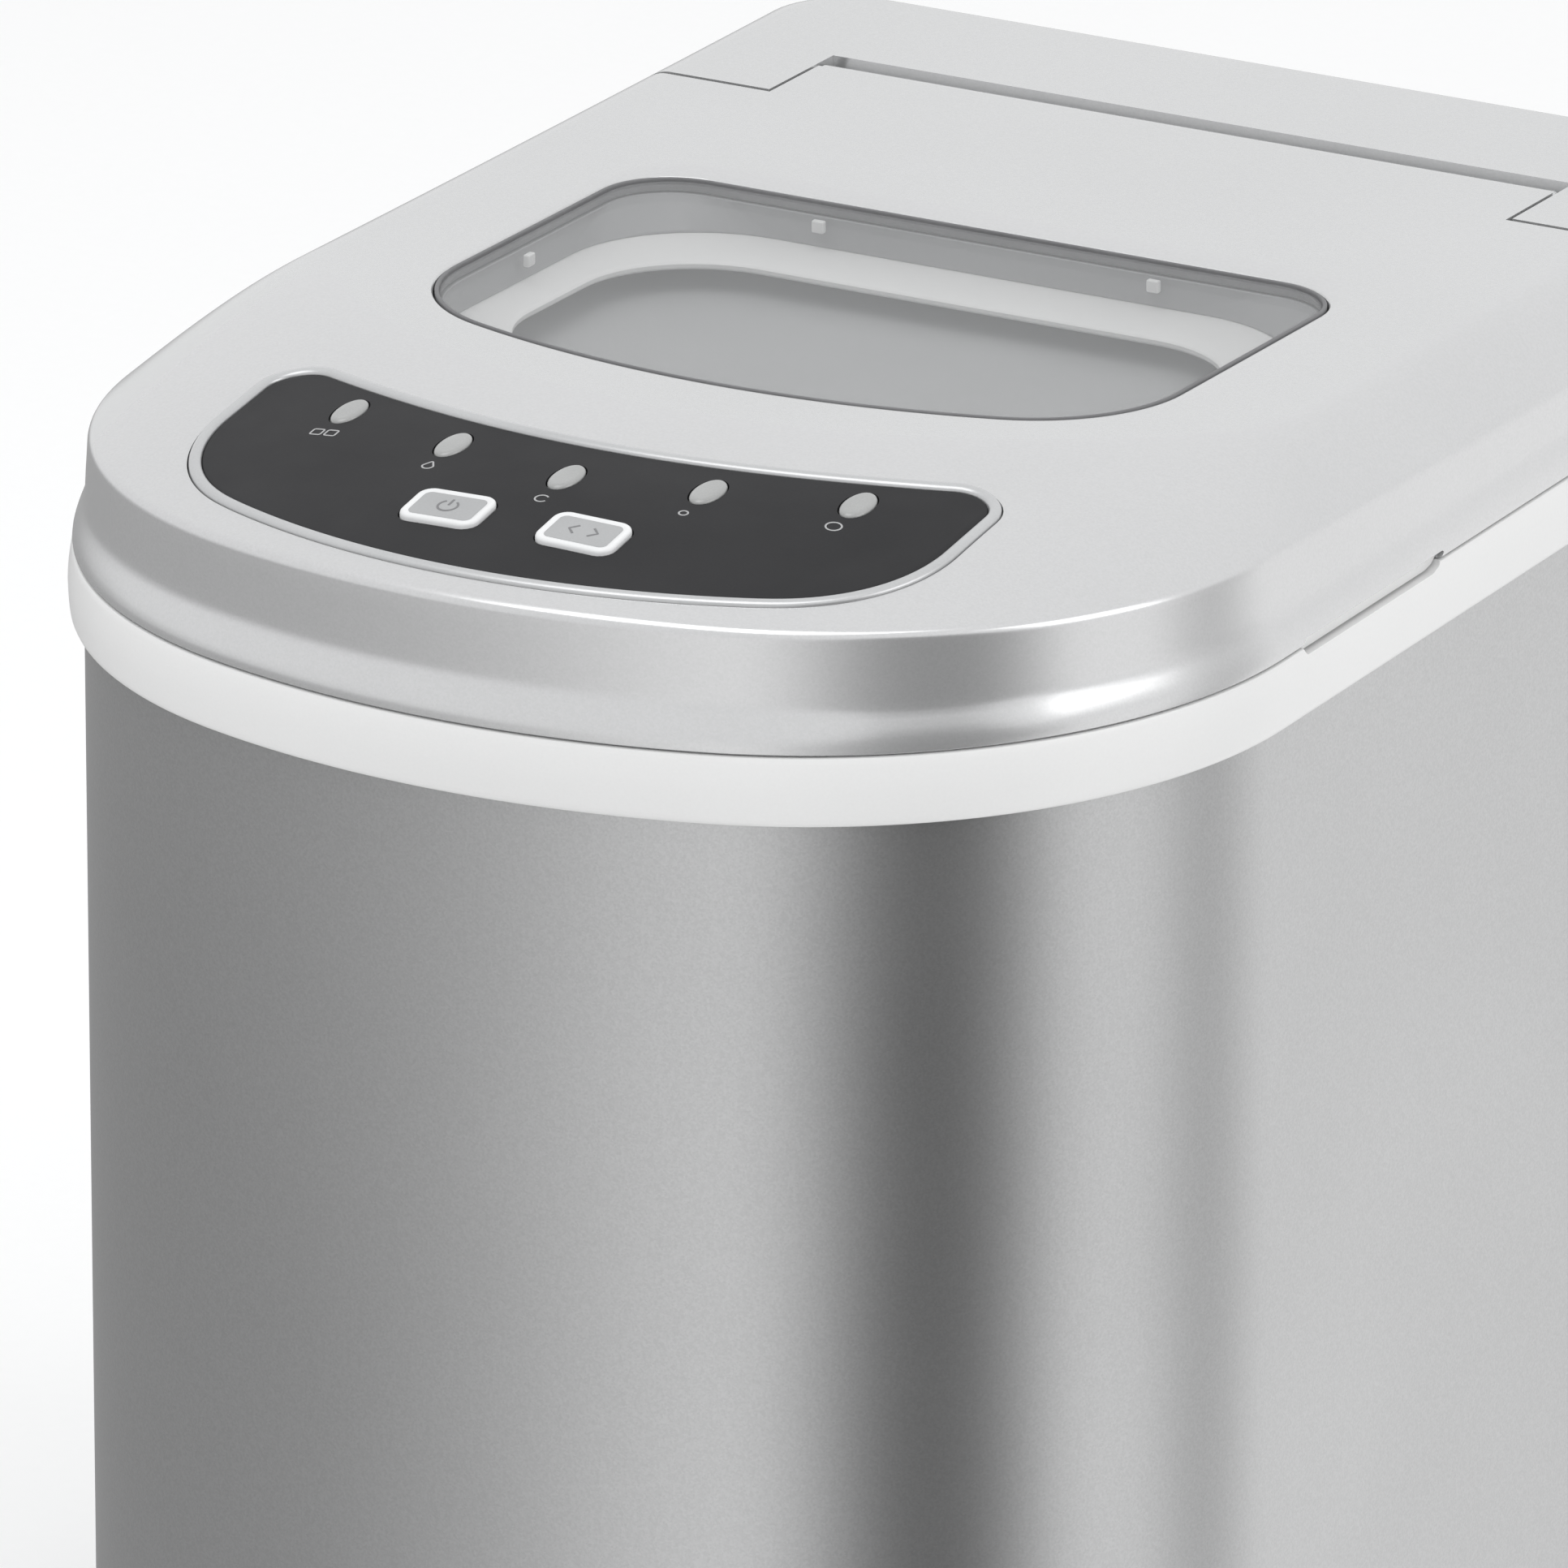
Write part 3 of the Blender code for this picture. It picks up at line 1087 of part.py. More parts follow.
def build_evaporator():
    """Chilled plate with nine fingers, the frame that hangs it, gear motor and ice-full sensors."""
    axis_y = back(AXIS_DEPTH)
    half = 2.5 * FINGER_PITCH
    plate_piece = box("evaporator", (-half + 2 * MM, axis_y - FINGER_ROW - 5 * MM, AXIS_HEIGHT + PLATE_LOW),
                      (half - 2 * MM, axis_y + FINGER_ROW + 5 * MM, AXIS_HEIGHT + PLATE_HIGH))
    rows = ((5, FINGER_ROW), (4, -FINGER_ROW))
    for count, offset in rows:
        for number in range(count):
            x = (number - (count - 1) / 2) * FINGER_PITCH
            tip = AXIS_HEIGHT - FINGER_REACH
            join(plate_piece, rod("finger_%d_%d" % (count, number), (x, axis_y + offset, tip),
                                  (x, axis_y + offset, AXIS_HEIGHT + PLATE_LOW + 1 * MM), FINGER_RADIUS - 0.7 * MM,
                                  10, FINGER_RADIUS))
    finish(plate_piece, "steel")
    top = AXIS_HEIGHT + PLATE_HIGH + GAP
    frame = box("evaporator_frame", (-CHEEK_IN - 1.5 * MM, axis_y - 8 * MM, top + 24 * MM),
                (CHEEK_IN + 1.5 * MM, axis_y + 4 * MM, top + 27 * MM))
    join(frame, box("frame_post", (-30 * MM, axis_y - 7 * MM, top), (30 * MM, axis_y + 3 * MM, top + 25 * MM)))
    for word, side in (("left", -1), ("right", 1)):
        low, high = sorted((side * CHEEK_IN, side * (CHEEK_IN + 2.5 * MM)))
        join(frame, box("frame_cheek_" + word, (low, axis_y - 9 * MM, AXIS_HEIGHT - 9 * MM),
                        (high, axis_y + 9 * MM, top + 25 * MM)))
    for word, side in (("left", -1), ("right", 1)):
        low, high = sorted((side * (CHEEK_IN - 1 * MM), side * (CHEEK_IN + 4 * MM)))
        cut(frame, rod("cheek_bore_" + word, (low, axis_y, AXIS_HEIGHT), (high, axis_y, AXIS_HEIGHT),
                       PIVOT_RADIUS + GAP, 16))
    finish(frame, "pale_plastic")
    motor_x = -(CHEEK_IN + 2.5 * MM + GAP)
    motor = box("tray_gear_motor", (motor_x - 15 * MM, axis_y - 14 * MM, AXIS_HEIGHT - 14 * MM),
                (motor_x, axis_y + 14 * MM, AXIS_HEIGHT + 22 * MM))
    finish(motor, "dark_plastic")
    sensor_depth = SENSOR_BEHIND + corner_end(BAND_HALF_WIDTH - TANK_INSET, TANK_FRONT, FRONT_RADIUS - TANK_FRONT,
                                              CORNER_RADIUS - TANK_INSET)
    for word, side in (("left", -1), ("right", 1)):
        wall_x = BAND_HALF_WIDTH - TANK_INSET - TANK_WALL - GAP
        low, high = sorted((side * wall_x, side * (wall_x - 6 * MM)))
        sensor = box("ice_sensor_" + word, (low, back(sensor_depth) - 7 * MM, SENSOR_HEIGHT - 6 * MM),
                     (high, back(sensor_depth) + 7 * MM, SENSOR_HEIGHT + 6 * MM))
        finish(sensor, "dark_plastic")


SENSOR_BEHIND = 8.7 * MM          # sensors behind the end of the tank's front corners
SENSOR_HEIGHT = 250.0 * MM


# ---------------------------------------------------------------- cooling machinery
def build_inner_cover():
    """Smooth cover that stands on the tank's lip and the deck, over the evaporator's tubes."""
    low = DECK_TOP + GAP + 2 * MM + GAP
    cover = plate("inner_cover", cover_outline(0.0), low, low + COVER_HEIGHT)
    edge = cover.modifiers.new("edge", "BEVEL")
    edge.width = 3.0 * MM
    edge.segments = 3
    edge.limit_method = "ANGLE"
    edge.angle_limit = math.radians(60)
    cut(cover, plate("cover_hollow", cover_outline(COVER_WALL), low - 5 * MM,
                     low + COVER_HEIGHT - COVER_WALL))
    return finish(cover, "grey_plastic")


def cover_outline(inset):
    """Outline of the inner cover, moved in by an inset."""
    middle = (COVER_FRONT + COVER_BACK) / 2
    return rounded_rectangle(0.0, middle, 2 * (COVER_HALF_WIDTH - inset), COVER_BACK - COVER_FRONT - 2 * inset,
                             12 * MM - inset, 4)


def build_machinery():
    """Compressor, condenser, fan, pump, drier, tubes, board and insulation."""
    floor = FOOT_HEIGHT + BASE_WALL + GAP
    cx, cd = COMPRESSOR_PLACE
    cy = back(cd)
    radius, height = COMPRESSOR_RADIUS, COMPRESSOR_HEIGHT
    shell = turned("compressor", ((0.0, floor + height), (0.45 * radius, floor + height - 3 * MM),
                                  (0.8 * radius, floor + height - 13 * MM), (0.96 * radius, floor + height - 32 * MM),
                                  (radius, floor + height / 2 + 3 * MM), (radius + 2 * MM, floor + height / 2 + 3 * MM),
                                  (radius + 2 * MM, floor + height / 2), (radius, floor + height / 2),
                                  (0.97 * radius, floor + 26 * MM), (0.8 * radius, floor + 12 * MM),
                                  (0.5 * radius, floor + 8 * MM), (0.0, floor + 8 * MM)), 28)
    shell.location = (cx, cy, 0.0)
    stand = box("compressor_stand", (cx - 46 * MM, cy - 32 * MM, floor + 5 * MM),
                (cx + 46 * MM, cy + 32 * MM, floor + 9 * MM))
    pads = []
    for side_x in (-1, 1):
        for side_y in (-1, 1):
            x, y = cx + side_x * 39 * MM, cy + side_y * 25 * MM
            pads.append(rod("pad_%d_%d" % (side_x, side_y), (x, y, floor), (x, y, floor + 6 * MM), 6 * MM, 12))
    join(shell, stand, *pads)
    finish(shell, "black_metal")
    kx, kd = CONDENSER_PLACE
    wide, deep, tall = CONDENSER_SIZE
    low = floor + 25 * MM
    block = box("condenser", (kx - wide / 2, back(kd) - deep / 2, low), (kx + wide / 2, back(kd) + deep / 2, low + tall))
    fins = 9
    for number in range(fins):
        x = kx + (number - (fins - 1) / 2) * 9.6 * MM
        cut(block, box("fin_gap_%d" % number, (x - 2.2 * MM, back(kd) - deep, low + 5 * MM),
                       (x + 2.2 * MM, back(kd) - deep / 2 + 9 * MM, low + tall - 5 * MM)))
    finish(block, "aluminium")
    build_fan(kx)
    pump = rod("water_pump", (62 * MM, back(196 * MM), TANK_FLOOR + TANK_WALL + GAP),
               (62 * MM, back(196 * MM), TANK_FLOOR + TANK_WALL + 30 * MM), 15 * MM, 20)
    join(pump, box("pump_head", (52 * MM, back(178 * MM), TANK_FLOOR + TANK_WALL + 2 * MM),
                   (72 * MM, back(190 * MM), TANK_FLOOR + TANK_WALL + 16 * MM)))
    finish(pump, "dark_plastic")
    hose_low = TANK_FLOOR + TANK_WALL + 30 * MM + GAP
    hose = tube("pump_hose", ((62 * MM, back(196 * MM), hose_low), (63 * MM, back(200 * MM), hose_low + 30 * MM),
                              (74 * MM, back(213 * MM), hose_low + 70 * MM),
                              (88 * MM, back(214 * MM), AXIS_HEIGHT - 20 * MM),
                              (92 * MM, back(205 * MM), AXIS_HEIGHT + 14 * MM),
                              (90 * MM, back(192 * MM), AXIS_HEIGHT + 24 * MM)), 3.0 * MM)
    finish(hose, "clear")
    drier = turned("filter_drier", ((0.0, 50 * MM), (3.0 * MM, 50 * MM), (3.0 * MM, 45 * MM), (9.0 * MM, 40 * MM),
                                    (9.0 * MM, 10 * MM), (3.0 * MM, 5 * MM), (3.0 * MM, 0.0), (0.0, 0.0)), 16)
    drier.location = (DRIER_X, back(TUBE_DEPTH + 3 * MM), floor + 130 * MM)
    finish(drier, "copper")
    top = floor + height
    discharge = tube("discharge_tube", ((cx - 24 * MM, cy, top - 2.8 * MM), (cx - 24 * MM, cy, top + 16 * MM),
                                        (cx - 50 * MM, cy - 10 * MM, top + 34 * MM),
                                        (kx + 30 * MM, back(kd), low + tall + 14 * MM),
                                        (kx + 26 * MM, back(kd), low + tall + GAP)), 2.4 * MM)
    finish(discharge, "copper")
    plate_top = AXIS_HEIGHT + PLATE_HIGH + GAP
    suction = tube("suction_tube", ((cx + 20 * MM, cy - 8 * MM, top - 1.8 * MM),
                                    (cx + 20 * MM, cy - 8 * MM, top + 30 * MM),
                                    (cx + 8 * MM, back(246 * MM), top + 70 * MM),
                                    (TUBE_X, back(TUBE_DEPTH), DECK_TOP - 30 * MM),
                                    (TUBE_X, back(TUBE_DEPTH), DECK_TOP - 4 * MM),
                                    (TUBE_X, back(230 * MM), DECK_TOP + 6.5 * MM),
                                    (TUBE_X, back(208 * MM), DECK_TOP + 6.5 * MM),
                                    (TUBE_X, back(188 * MM), DECK_TOP + 2 * MM),
                                    (TUBE_X, back(182 * MM), DECK_TOP - 14 * MM),
                                    (TUBE_X, back(182 * MM), plate_top)), 3.0 * MM)
    finish(suction, "copper")
    capillary = tube("capillary_tube", ((DRIER_X, back(TUBE_DEPTH + 3 * MM), floor + 180 * MM + GAP),
                                        (DRIER_X, back(TUBE_DEPTH + 3 * MM), floor + 215 * MM),
                                        (TUBE_X - 14 * MM, back(TUBE_DEPTH), DECK_TOP - 30 * MM),
                                        (TUBE_X - 14 * MM, back(TUBE_DEPTH), DECK_TOP - 4 * MM),
                                        (TUBE_X - 14 * MM, back(230 * MM), DECK_TOP + 6.5 * MM),
                                        (TUBE_X - 14 * MM, back(208 * MM), DECK_TOP + 6.5 * MM),
                                        (TUBE_X - 14 * MM, back(188 * MM), DECK_TOP + 2 * MM),
                                        (TUBE_X - 14 * MM, back(182 * MM), DECK_TOP - 14 * MM),
                                        (TUBE_X - 14 * MM, back(182 * MM), plate_top)), 1.3 * MM)
    finish(capillary, "copper")
    board = box("power_board", (-100 * MM, back(236 * MM), floor + 165 * MM),
                (-30 * MM, back(237.6 * MM), floor + 245 * MM))
    relays = [box("board_relay", (-90 * MM, back(237 * MM), floor + 180 * MM),
                  (-72 * MM, back(252 * MM), floor + 196 * MM)),
              box("board_transformer", (-62 * MM, back(237 * MM), floor + 176 * MM),
                  (-38 * MM, back(258 * MM), floor + 202 * MM))]
    join(board, *relays)
    finish(board, "board")
    foam = plate("tank_insulation", tank_outline(-8 * MM), TANK_FLOOR - 10 * MM, BAND_BOTTOM - 4 * MM)
    cut(foam, plate("foam_hollow", tank_outline(-GAP), TANK_FLOOR - GAP, BAND_BOTTOM + 5 * MM))
    drain_y = back(DRAIN_DEPTH)
    cut(foam, rod("foam_drain", (-BAND_HALF_WIDTH - 5 * MM, drain_y, DRAIN_HEIGHT),
                  (-60 * MM, drain_y, DRAIN_HEIGHT), DRAIN_RADIUS + GAP, 20))
    finish(foam, "foam")


def build_fan(kx):
    """Shroud, motor and impeller behind the condenser."""
    y = back(FAN_DEPTH)
    shroud = box("fan_shroud", (kx - 49 * MM, y - 12 * MM, FAN_HEIGHT - 49 * MM),
                 (kx + 49 * MM, y + 12 * MM, FAN_HEIGHT + 49 * MM))
    bore = rod("shroud_bore", (kx, y - 8 * MM, FAN_HEIGHT), (kx, y + 20 * MM, FAN_HEIGHT), FAN_RADIUS + 1.5 * MM, 32)
    inlet = rod("shroud_inlet", (kx, y - 20 * MM, FAN_HEIGHT), (kx, y - 5 * MM, FAN_HEIGHT), FAN_RADIUS - 4 * MM, 32)
    cut(shroud, bore, inlet)
    spokes = [box("spoke_up", (kx - 3 * MM, y - 12 * MM, FAN_HEIGHT - 46 * MM),
                  (kx + 3 * MM, y - 9 * MM, FAN_HEIGHT + 46 * MM)),
              box("spoke_across", (kx - 46 * MM, y - 12 * MM, FAN_HEIGHT - 3 * MM),
                  (kx + 46 * MM, y - 9 * MM, FAN_HEIGHT + 3 * MM))]
    join(shroud, *spokes)
    finish(shroud, "dark_plastic")
    motor = rod("fan_motor", (kx, y - 9 * MM + GAP, FAN_HEIGHT), (kx, y - 1 * MM, FAN_HEIGHT), 13 * MM, 20)
    finish(motor, "black_metal")
    hub = rod("fan_impeller", (0, -0.5 * MM, 0), (0, 11 * MM, 0), 14 * MM, 20)
    hub.location = (kx, y, FAN_HEIGHT)
    for number in range(BLADES):
        bm = bmesh.new()
        bmesh.ops.create_cube(bm, size=1.0)
        bmesh.ops.scale(bm, vec=(20 * MM, 1.6 * MM, FAN_RADIUS - 11 * MM), verts=bm.verts)
        bm.transform(Matrix.Rotation(math.radians(28), 4, "Z"))
        bmesh.ops.translate(bm, vec=(0, 5.2 * MM, (FAN_RADIUS + 11 * MM) / 2), verts=bm.verts)
        bm.transform(Matrix.Rotation(2 * math.pi * number / BLADES, 4, "Y"))
        blade = mesh_object("fan_blade_%d" % number, bm)
        blade.location = (kx, y, FAN_HEIGHT)
        join(hub, blade)
    finish(hub, "dark_plastic")


def main():
    start()
    build_lid_shell()
    build_rear_cover()
    build_hinge_pins()
    build_window()
    build_lid_liner()
    build_panel()
    build_collar()
    build_body()
    build_base()
    build_rear()
    build_tank()
    build_basket()
    build_water_tray()
    build_pusher()
    build_evaporator()
    build_inner_cover()
    build_machinery()


main()
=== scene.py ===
"""Countertop bullet-ice maker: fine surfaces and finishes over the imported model, in metres.

The front faces -Y, X runs to the right and Z is up.  Plan positions are given as a depth behind the front of
the collar band.  Every new piece is a closed surface worked out on a grid of rings.
"""

import json
import logging
import math
from dataclasses import dataclass, field, replace
from enum import Enum
from typing import Callable, Dict, List, Optional, Sequence, Tuple, Union

import bmesh
import bpy
import numpy as np
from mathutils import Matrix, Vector

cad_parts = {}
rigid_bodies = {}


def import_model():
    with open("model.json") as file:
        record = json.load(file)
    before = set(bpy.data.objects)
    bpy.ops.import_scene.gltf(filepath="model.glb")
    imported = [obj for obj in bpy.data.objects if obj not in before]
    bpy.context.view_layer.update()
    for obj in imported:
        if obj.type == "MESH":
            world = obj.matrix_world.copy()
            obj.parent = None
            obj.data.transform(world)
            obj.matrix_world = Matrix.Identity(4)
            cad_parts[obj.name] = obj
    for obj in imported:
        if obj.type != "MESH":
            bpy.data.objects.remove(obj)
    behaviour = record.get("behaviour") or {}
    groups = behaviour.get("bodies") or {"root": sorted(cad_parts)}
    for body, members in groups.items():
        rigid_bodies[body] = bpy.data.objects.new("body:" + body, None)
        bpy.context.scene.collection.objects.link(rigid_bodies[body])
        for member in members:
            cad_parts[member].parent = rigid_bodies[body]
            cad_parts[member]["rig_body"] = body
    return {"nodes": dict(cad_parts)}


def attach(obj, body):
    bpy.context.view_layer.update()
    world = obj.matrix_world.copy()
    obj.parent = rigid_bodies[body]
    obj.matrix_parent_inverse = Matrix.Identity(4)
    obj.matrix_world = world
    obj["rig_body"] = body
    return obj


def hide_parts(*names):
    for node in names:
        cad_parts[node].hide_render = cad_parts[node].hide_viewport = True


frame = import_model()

LOG = logging.getLogger("ice_maker")
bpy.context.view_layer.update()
MM = 0.001
Array = np.ndarray
Colour = Tuple[float, float, float]


# ---------------------------------------------------------------------------------------------- layout
@dataclass(frozen=True)
class Layout:
    """Main sizes that several sub-assemblies share, in metres."""

    half_width: float = 121.5 * MM
    depth: float = 352.0 * MM
    band_bottom: float = 277.0 * MM
    band_height: float = 13.4 * MM
    front_radius: float = 172.0 * MM
    corner_radius: float = 100.0 * MM
    rear_radius: float = 20.0 * MM
    body_inset: float = 3.0 * MM
    gap: float = 0.3 * MM
    shell: float = 2.4 * MM
    hinge_depth: float = 291.3 * MM
    hinge_radius: float = 6.0 * MM
    tongue: float = 79.8 * MM
    lid_back: float = 271.6 * MM
    pin_bore: float = 1.95 * MM
    pin_reach: float = 7.6 * MM
    drain: Tuple[float, float] = (196.0 * MM, 74.0 * MM)
    cutter_top: float = 80.0 * MM

    @property
    def deck(self) -> float:
        """Height of the collar's upper face."""
        return self.band_bottom + self.band_height

    def back(self, depth: Union[float, Array]) -> Union[float, Array]:
        """World Y of a depth behind the front of the band."""
        return depth - self.depth / 2


LAY = Layout()


@dataclass(frozen=True)
class Outline:
    """Closed plan outline: bowed front, large front corners, straight sides and a straight back."""

    half_width: float
    front: float
    front_radius: float
    corner: float
    rear: float
    rear_corner: float
    steps: Tuple[int, int, int, int, int] = (14, 40, 56, 12, 20)

    def inset(self, amount: float) -> "Outline":
        """The outline moved in all round.

        Args:
            amount: How far it moves in, in metres; a negative amount moves it out.

        Returns:
            The new outline, with every corner's radius changed to match.
        """
        return replace(self, half_width=self.half_width - amount, front=self.front + amount,
                       front_radius=self.front_radius - amount, corner=max(self.corner - amount, 0.2 * MM),
                       rear=self.rear - amount, rear_corner=max(self.rear_corner - amount, 0.2 * MM))

    def points(self) -> Array:
        """Points from the right rear, round the front, to the left rear and along the back.

        Each corner is an arc tangent to the side and to the front arc, and each piece of the line has a
        fixed number of steps, so two outlines can be lofted point to point.

        Returns:
            Array of (count, 2) world x and y.
        """
        side, corner, front, rear, back = self.steps
        cx = self.half_width - self.corner
        cd = self.front + self.front_radius - math.sqrt((self.front_radius - self.corner) ** 2 - cx ** 2)
        meet = math.atan2(cx, self.front + self.front_radius - cd)
        end = self.rear - self.rear_corner

        def run(low: float, high: float, count: int) -> Array:
            """Evenly spaced values that leave out the last."""
            return np.linspace(low, high, count, endpoint=False)

        straight = run(end, cd, side)
        bend = run(math.pi / 2, meet, corner)
        bow = run(meet, -meet, front)
        mirror = run(-meet, -math.pi / 2, corner)
        turn = run(0.0, math.pi / 2, rear)
        inner = self.half_width - self.rear_corner
        xs = [np.full(side, self.half_width), cx + self.corner * np.sin(bend), self.front_radius * np.sin(bow),
              -cx + self.corner * np.sin(mirror), np.full(side, -self.half_width),
              -inner - self.rear_corner * np.cos(turn), run(-inner, inner, back),
              inner + self.rear_corner * np.sin(turn)]
        ds = [straight, cd - self.corner * np.cos(bend),
              self.front + self.front_radius - self.front_radius * np.cos(bow),
              cd - self.corner * np.cos(mirror), run(cd, end, side), end + self.rear_corner * np.sin(turn),
              np.full(back, self.rear), end + self.rear_corner * np.cos(turn)]
        return np.stack([np.concatenate(xs), LAY.back(np.concatenate(ds))], axis=1)


BASE = Outline(LAY.half_width, 0.0, LAY.front_radius, LAY.corner_radius, LAY.depth, LAY.rear_radius)
TANK = Outline(106.5 * MM, 15.0 * MM, 157.0 * MM, 85.0 * MM, 224.0 * MM, 10.0 * MM)
WINDOW = Outline(76.8 * MM, 105.2 * MM, 170.0 * MM, 32.0 * MM, 215.5 * MM, 15.0 * MM)


@dataclass(frozen=True)
class TopForm:
    """The moulded top's outer surface: a rim that falls to the rear, a shoulder and a raised plateau."""

    rim: Outline = BASE.inset(4.0 * MM)
    ridge: Outline = Outline(102.5 * MM, 87.0 * MM, 131.0 * MM, 34.0 * MM, 335.0 * MM, 16.0 * MM)

    def rim_height(self, y: Array) -> Array:
        """Rim height: a slope that dies out towards the rear."""
        depth = y + LAY.depth / 2
        return LAY.band_bottom + 37.2 * MM - 0.052 * depth + 0.065 * depth ** 2

    def plateau_height(self, y: Array) -> Array:
        """Plateau height: a gentler slope of the same kind."""
        depth = y + LAY.depth / 2 - 87.0 * MM
        return LAY.band_bottom + 47.0 * MM - 0.032 * depth + 0.026 * depth ** 2

    def shoulder(self, share: Array) -> Array:
        """Points between rim (0) and ridge (1): straight in plan, a quarter sine in height.

        Args:
            share: Shares of the way in, either (rows, 1) or (rows, columns).

        Returns:
            Array of (rows, columns, 3).
        """
        low, high = self.rim.points(), self.ridge.points()
        plan = low[None] + (high - low)[None] * share[..., None]
        rise = np.sin(np.pi / 2 * share)
        z = self.rim_height(low[None, :, 1]) * (1 - rise) + self.plateau_height(high[None, :, 1]) * rise
        return np.concatenate([plan, np.broadcast_to(z, plan.shape[:2])[..., None]], axis=2)

    def ring(self, plan: Array, rise: float) -> Array:
        """A plan outline laid on the outer surface, a rise in metres above it."""
        return level(plan, self.height(plan[:, 0], plan[:, 1]) + rise)

    def flat_ring(self, plan: Array, rise: float) -> Array:
        """A plan outline laid on the plateau, a rise in metres above it."""
        return level(plan, self.plateau_height(plan[:, 1]) + rise)

    def height(self, x: Array, y: Array) -> Array:
        """Height of the outer surface above any plan points.

        Each point is compared with every straight line from rim to ridge; the two nearest lines are mixed by
        their distance, and a point inside the ridge takes the plateau's height.

        Args:
            x: World x of the points, any shape.
            y: World y of the points, same shape.

        Returns:
            Heights of the same shape.
        """
        fine = replace(self.rim, steps=(60, 150, 200, 40, 60)), replace(self.ridge, steps=(60, 150, 200, 40, 60))
        low, high = fine[0].points(), fine[1].points()
        run = high - low
        size = (run ** 2).sum(1)
        flat = np.stack([np.ravel(x), np.ravel(y)], axis=1)
        found = []
        for part in np.array_split(flat, max(1, len(flat) // 1500 + 1)):
            away = part[:, None] - low[None]
            share = np.clip((away * run[None]).sum(2) / size[None], 0.0, 1.0)
            off = np.linalg.norm(away - run[None] * share[..., None], axis=2)
            best = off.argmin(1)
            rows = np.arange(len(part))
            left, right = (best - 1) % len(low), (best + 1) % len(low)
            second = np.where(off[rows, left] < off[rows, right], left, right)
            heights = []
            for pick in (best, second):
                rise = np.sin(np.pi / 2 * share[rows, pick])
                heights.append(self.rim_height(low[pick, 1]) * (1 - rise)
                               + self.plateau_height(high[pick, 1]) * rise)
            weight = off[rows, second] / (off[rows, best] + off[rows, second] + 1e-9)
            mixed = heights[0] * weight + heights[1] * (1 - weight)
            inside = (share[rows, best] > 0.9999) & (off[rows, best] > 1e-5)
            found.append(np.where(inside, self.plateau_height(part[:, 1]), mixed))
        return np.concatenate(found).reshape(np.shape(x))


TOP = TopForm()


# ---------------------------------------------------------------------------------------------- surfaces
class Cut(Enum):
    """What a cutter does to a piece."""

    TAKE = "DIFFERENCE"
    ADD = "UNION"
    KEEP = "INTERSECT"


def signed_volume(points: Array, quads: Array) -> float:
    """Volume inside a closed surface of four-cornered faces: a sixth of the sum of triple products.

    Args:
        points: Array of (count, 3).
        quads: Array of (faces, 4) point numbers.

    Returns:
        The volume, positive when the faces point outwards.
    """
    total = 0.0
    for a, b, c in ((0, 1, 2), (0, 2, 3)):
        p, q, r = points[quads[:, a]], points[quads[:, b]], points[quads[:, c]]
        total += float(np.einsum("ij,ij->i", p, np.cross(q, r)).sum()) / 6.0
    return total


def mesh_of(name: str, points: Array, faces: Sequence[Sequence[int]]) -> bpy.types.Object:
    """A mesh object at the origin.

    Args:
        name: The piece's name.
        points: Array of (count, 3).
        faces: Point numbers of each face.

    Returns:
        The new object, in the scene.
    """
    mesh = bpy.data.meshes.new(name)
    mesh.from_pydata(points.tolist(), [], faces)
    mesh.update()
    piece = bpy.data.objects.new(name, mesh)
    bpy.context.scene.collection.objects.link(piece)
    return piece


def smooth(piece: bpy.types.Object, angle: float = 34.0) -> bpy.types.Object:
    """Shade a piece smooth, with its sharper edges kept.

    Args:
        piece: The piece.
        angle: Angle in degrees over which an edge stays sharp.

    Returns:
        The same object.
    """
    piece.data.shade_smooth()
    piece.data.set_sharp_from_angle(angle=math.radians(angle))
    return piece


def loft(name: str, rings: Array, closed: bool = False, sharp: float = 34.0) -> bpy.types.Object:
    """A closed surface through rings of equal count.

    The rings are joined point to point.  Either the last ring joins the first, which makes a closed tube, or
    the two end rings are filled with flat caps.

    Args:
        name: The piece's name.
        rings: Array of (rings, points, 3).
        closed: Whether the last ring joins the first.
        sharp: Angle in degrees over which an edge stays sharp.

    Returns:
        The new object, with its faces outwards.
    """
    rows, columns = rings.shape[:2]
    index = np.arange(rows * columns).reshape(rows, columns)
    below = index if closed else index[:-1]
    above = np.roll(index, -1, axis=0) if closed else index[1:]
    quads = np.stack([below, np.roll(below, -1, 1), np.roll(above, -1, 1), above], axis=-1).reshape(-1, 4)
    points = rings.reshape(-1, 3)
    faces = quads.tolist()
    caps: List[List[int]] = [] if closed else [index[0][::-1].tolist(), index[-1].tolist()]
    volume = signed_volume(points, quads)
    for cap in caps:
        ring = points[cap]
        middle = ring.mean(0)
        volume += float(np.einsum("ij,ij->i", ring, np.cross(np.roll(ring, -1, 0), middle)).sum()) / 6.0
    if volume < 0:
        faces = quads[:, ::-1].tolist()
        caps = [cap[::-1] for cap in caps]
    return smooth(mesh_of(name, points, faces + caps), sharp)


def level(outline: Array, height: Union[float, Array]) -> Array:
    """One ring: a plan outline at a height."""
    return np.concatenate([outline, np.broadcast_to(height, len(outline))[:, None]], axis=1)


def between(one: Array, two: Array, shares: Sequence[float]) -> Array:
    """Rings at shares of the way from one ring to another."""
    part = np.asarray(shares, float)[:, None, None]
    return one[None] * (1 - part) + two[None] * part


def prism(name: str, outline: Array, low: float, high: float) -> bpy.types.Object:
    """A flat outline raised from one height to another."""
    return loft(name, np.stack([level(outline, low), level(outline, high)]))


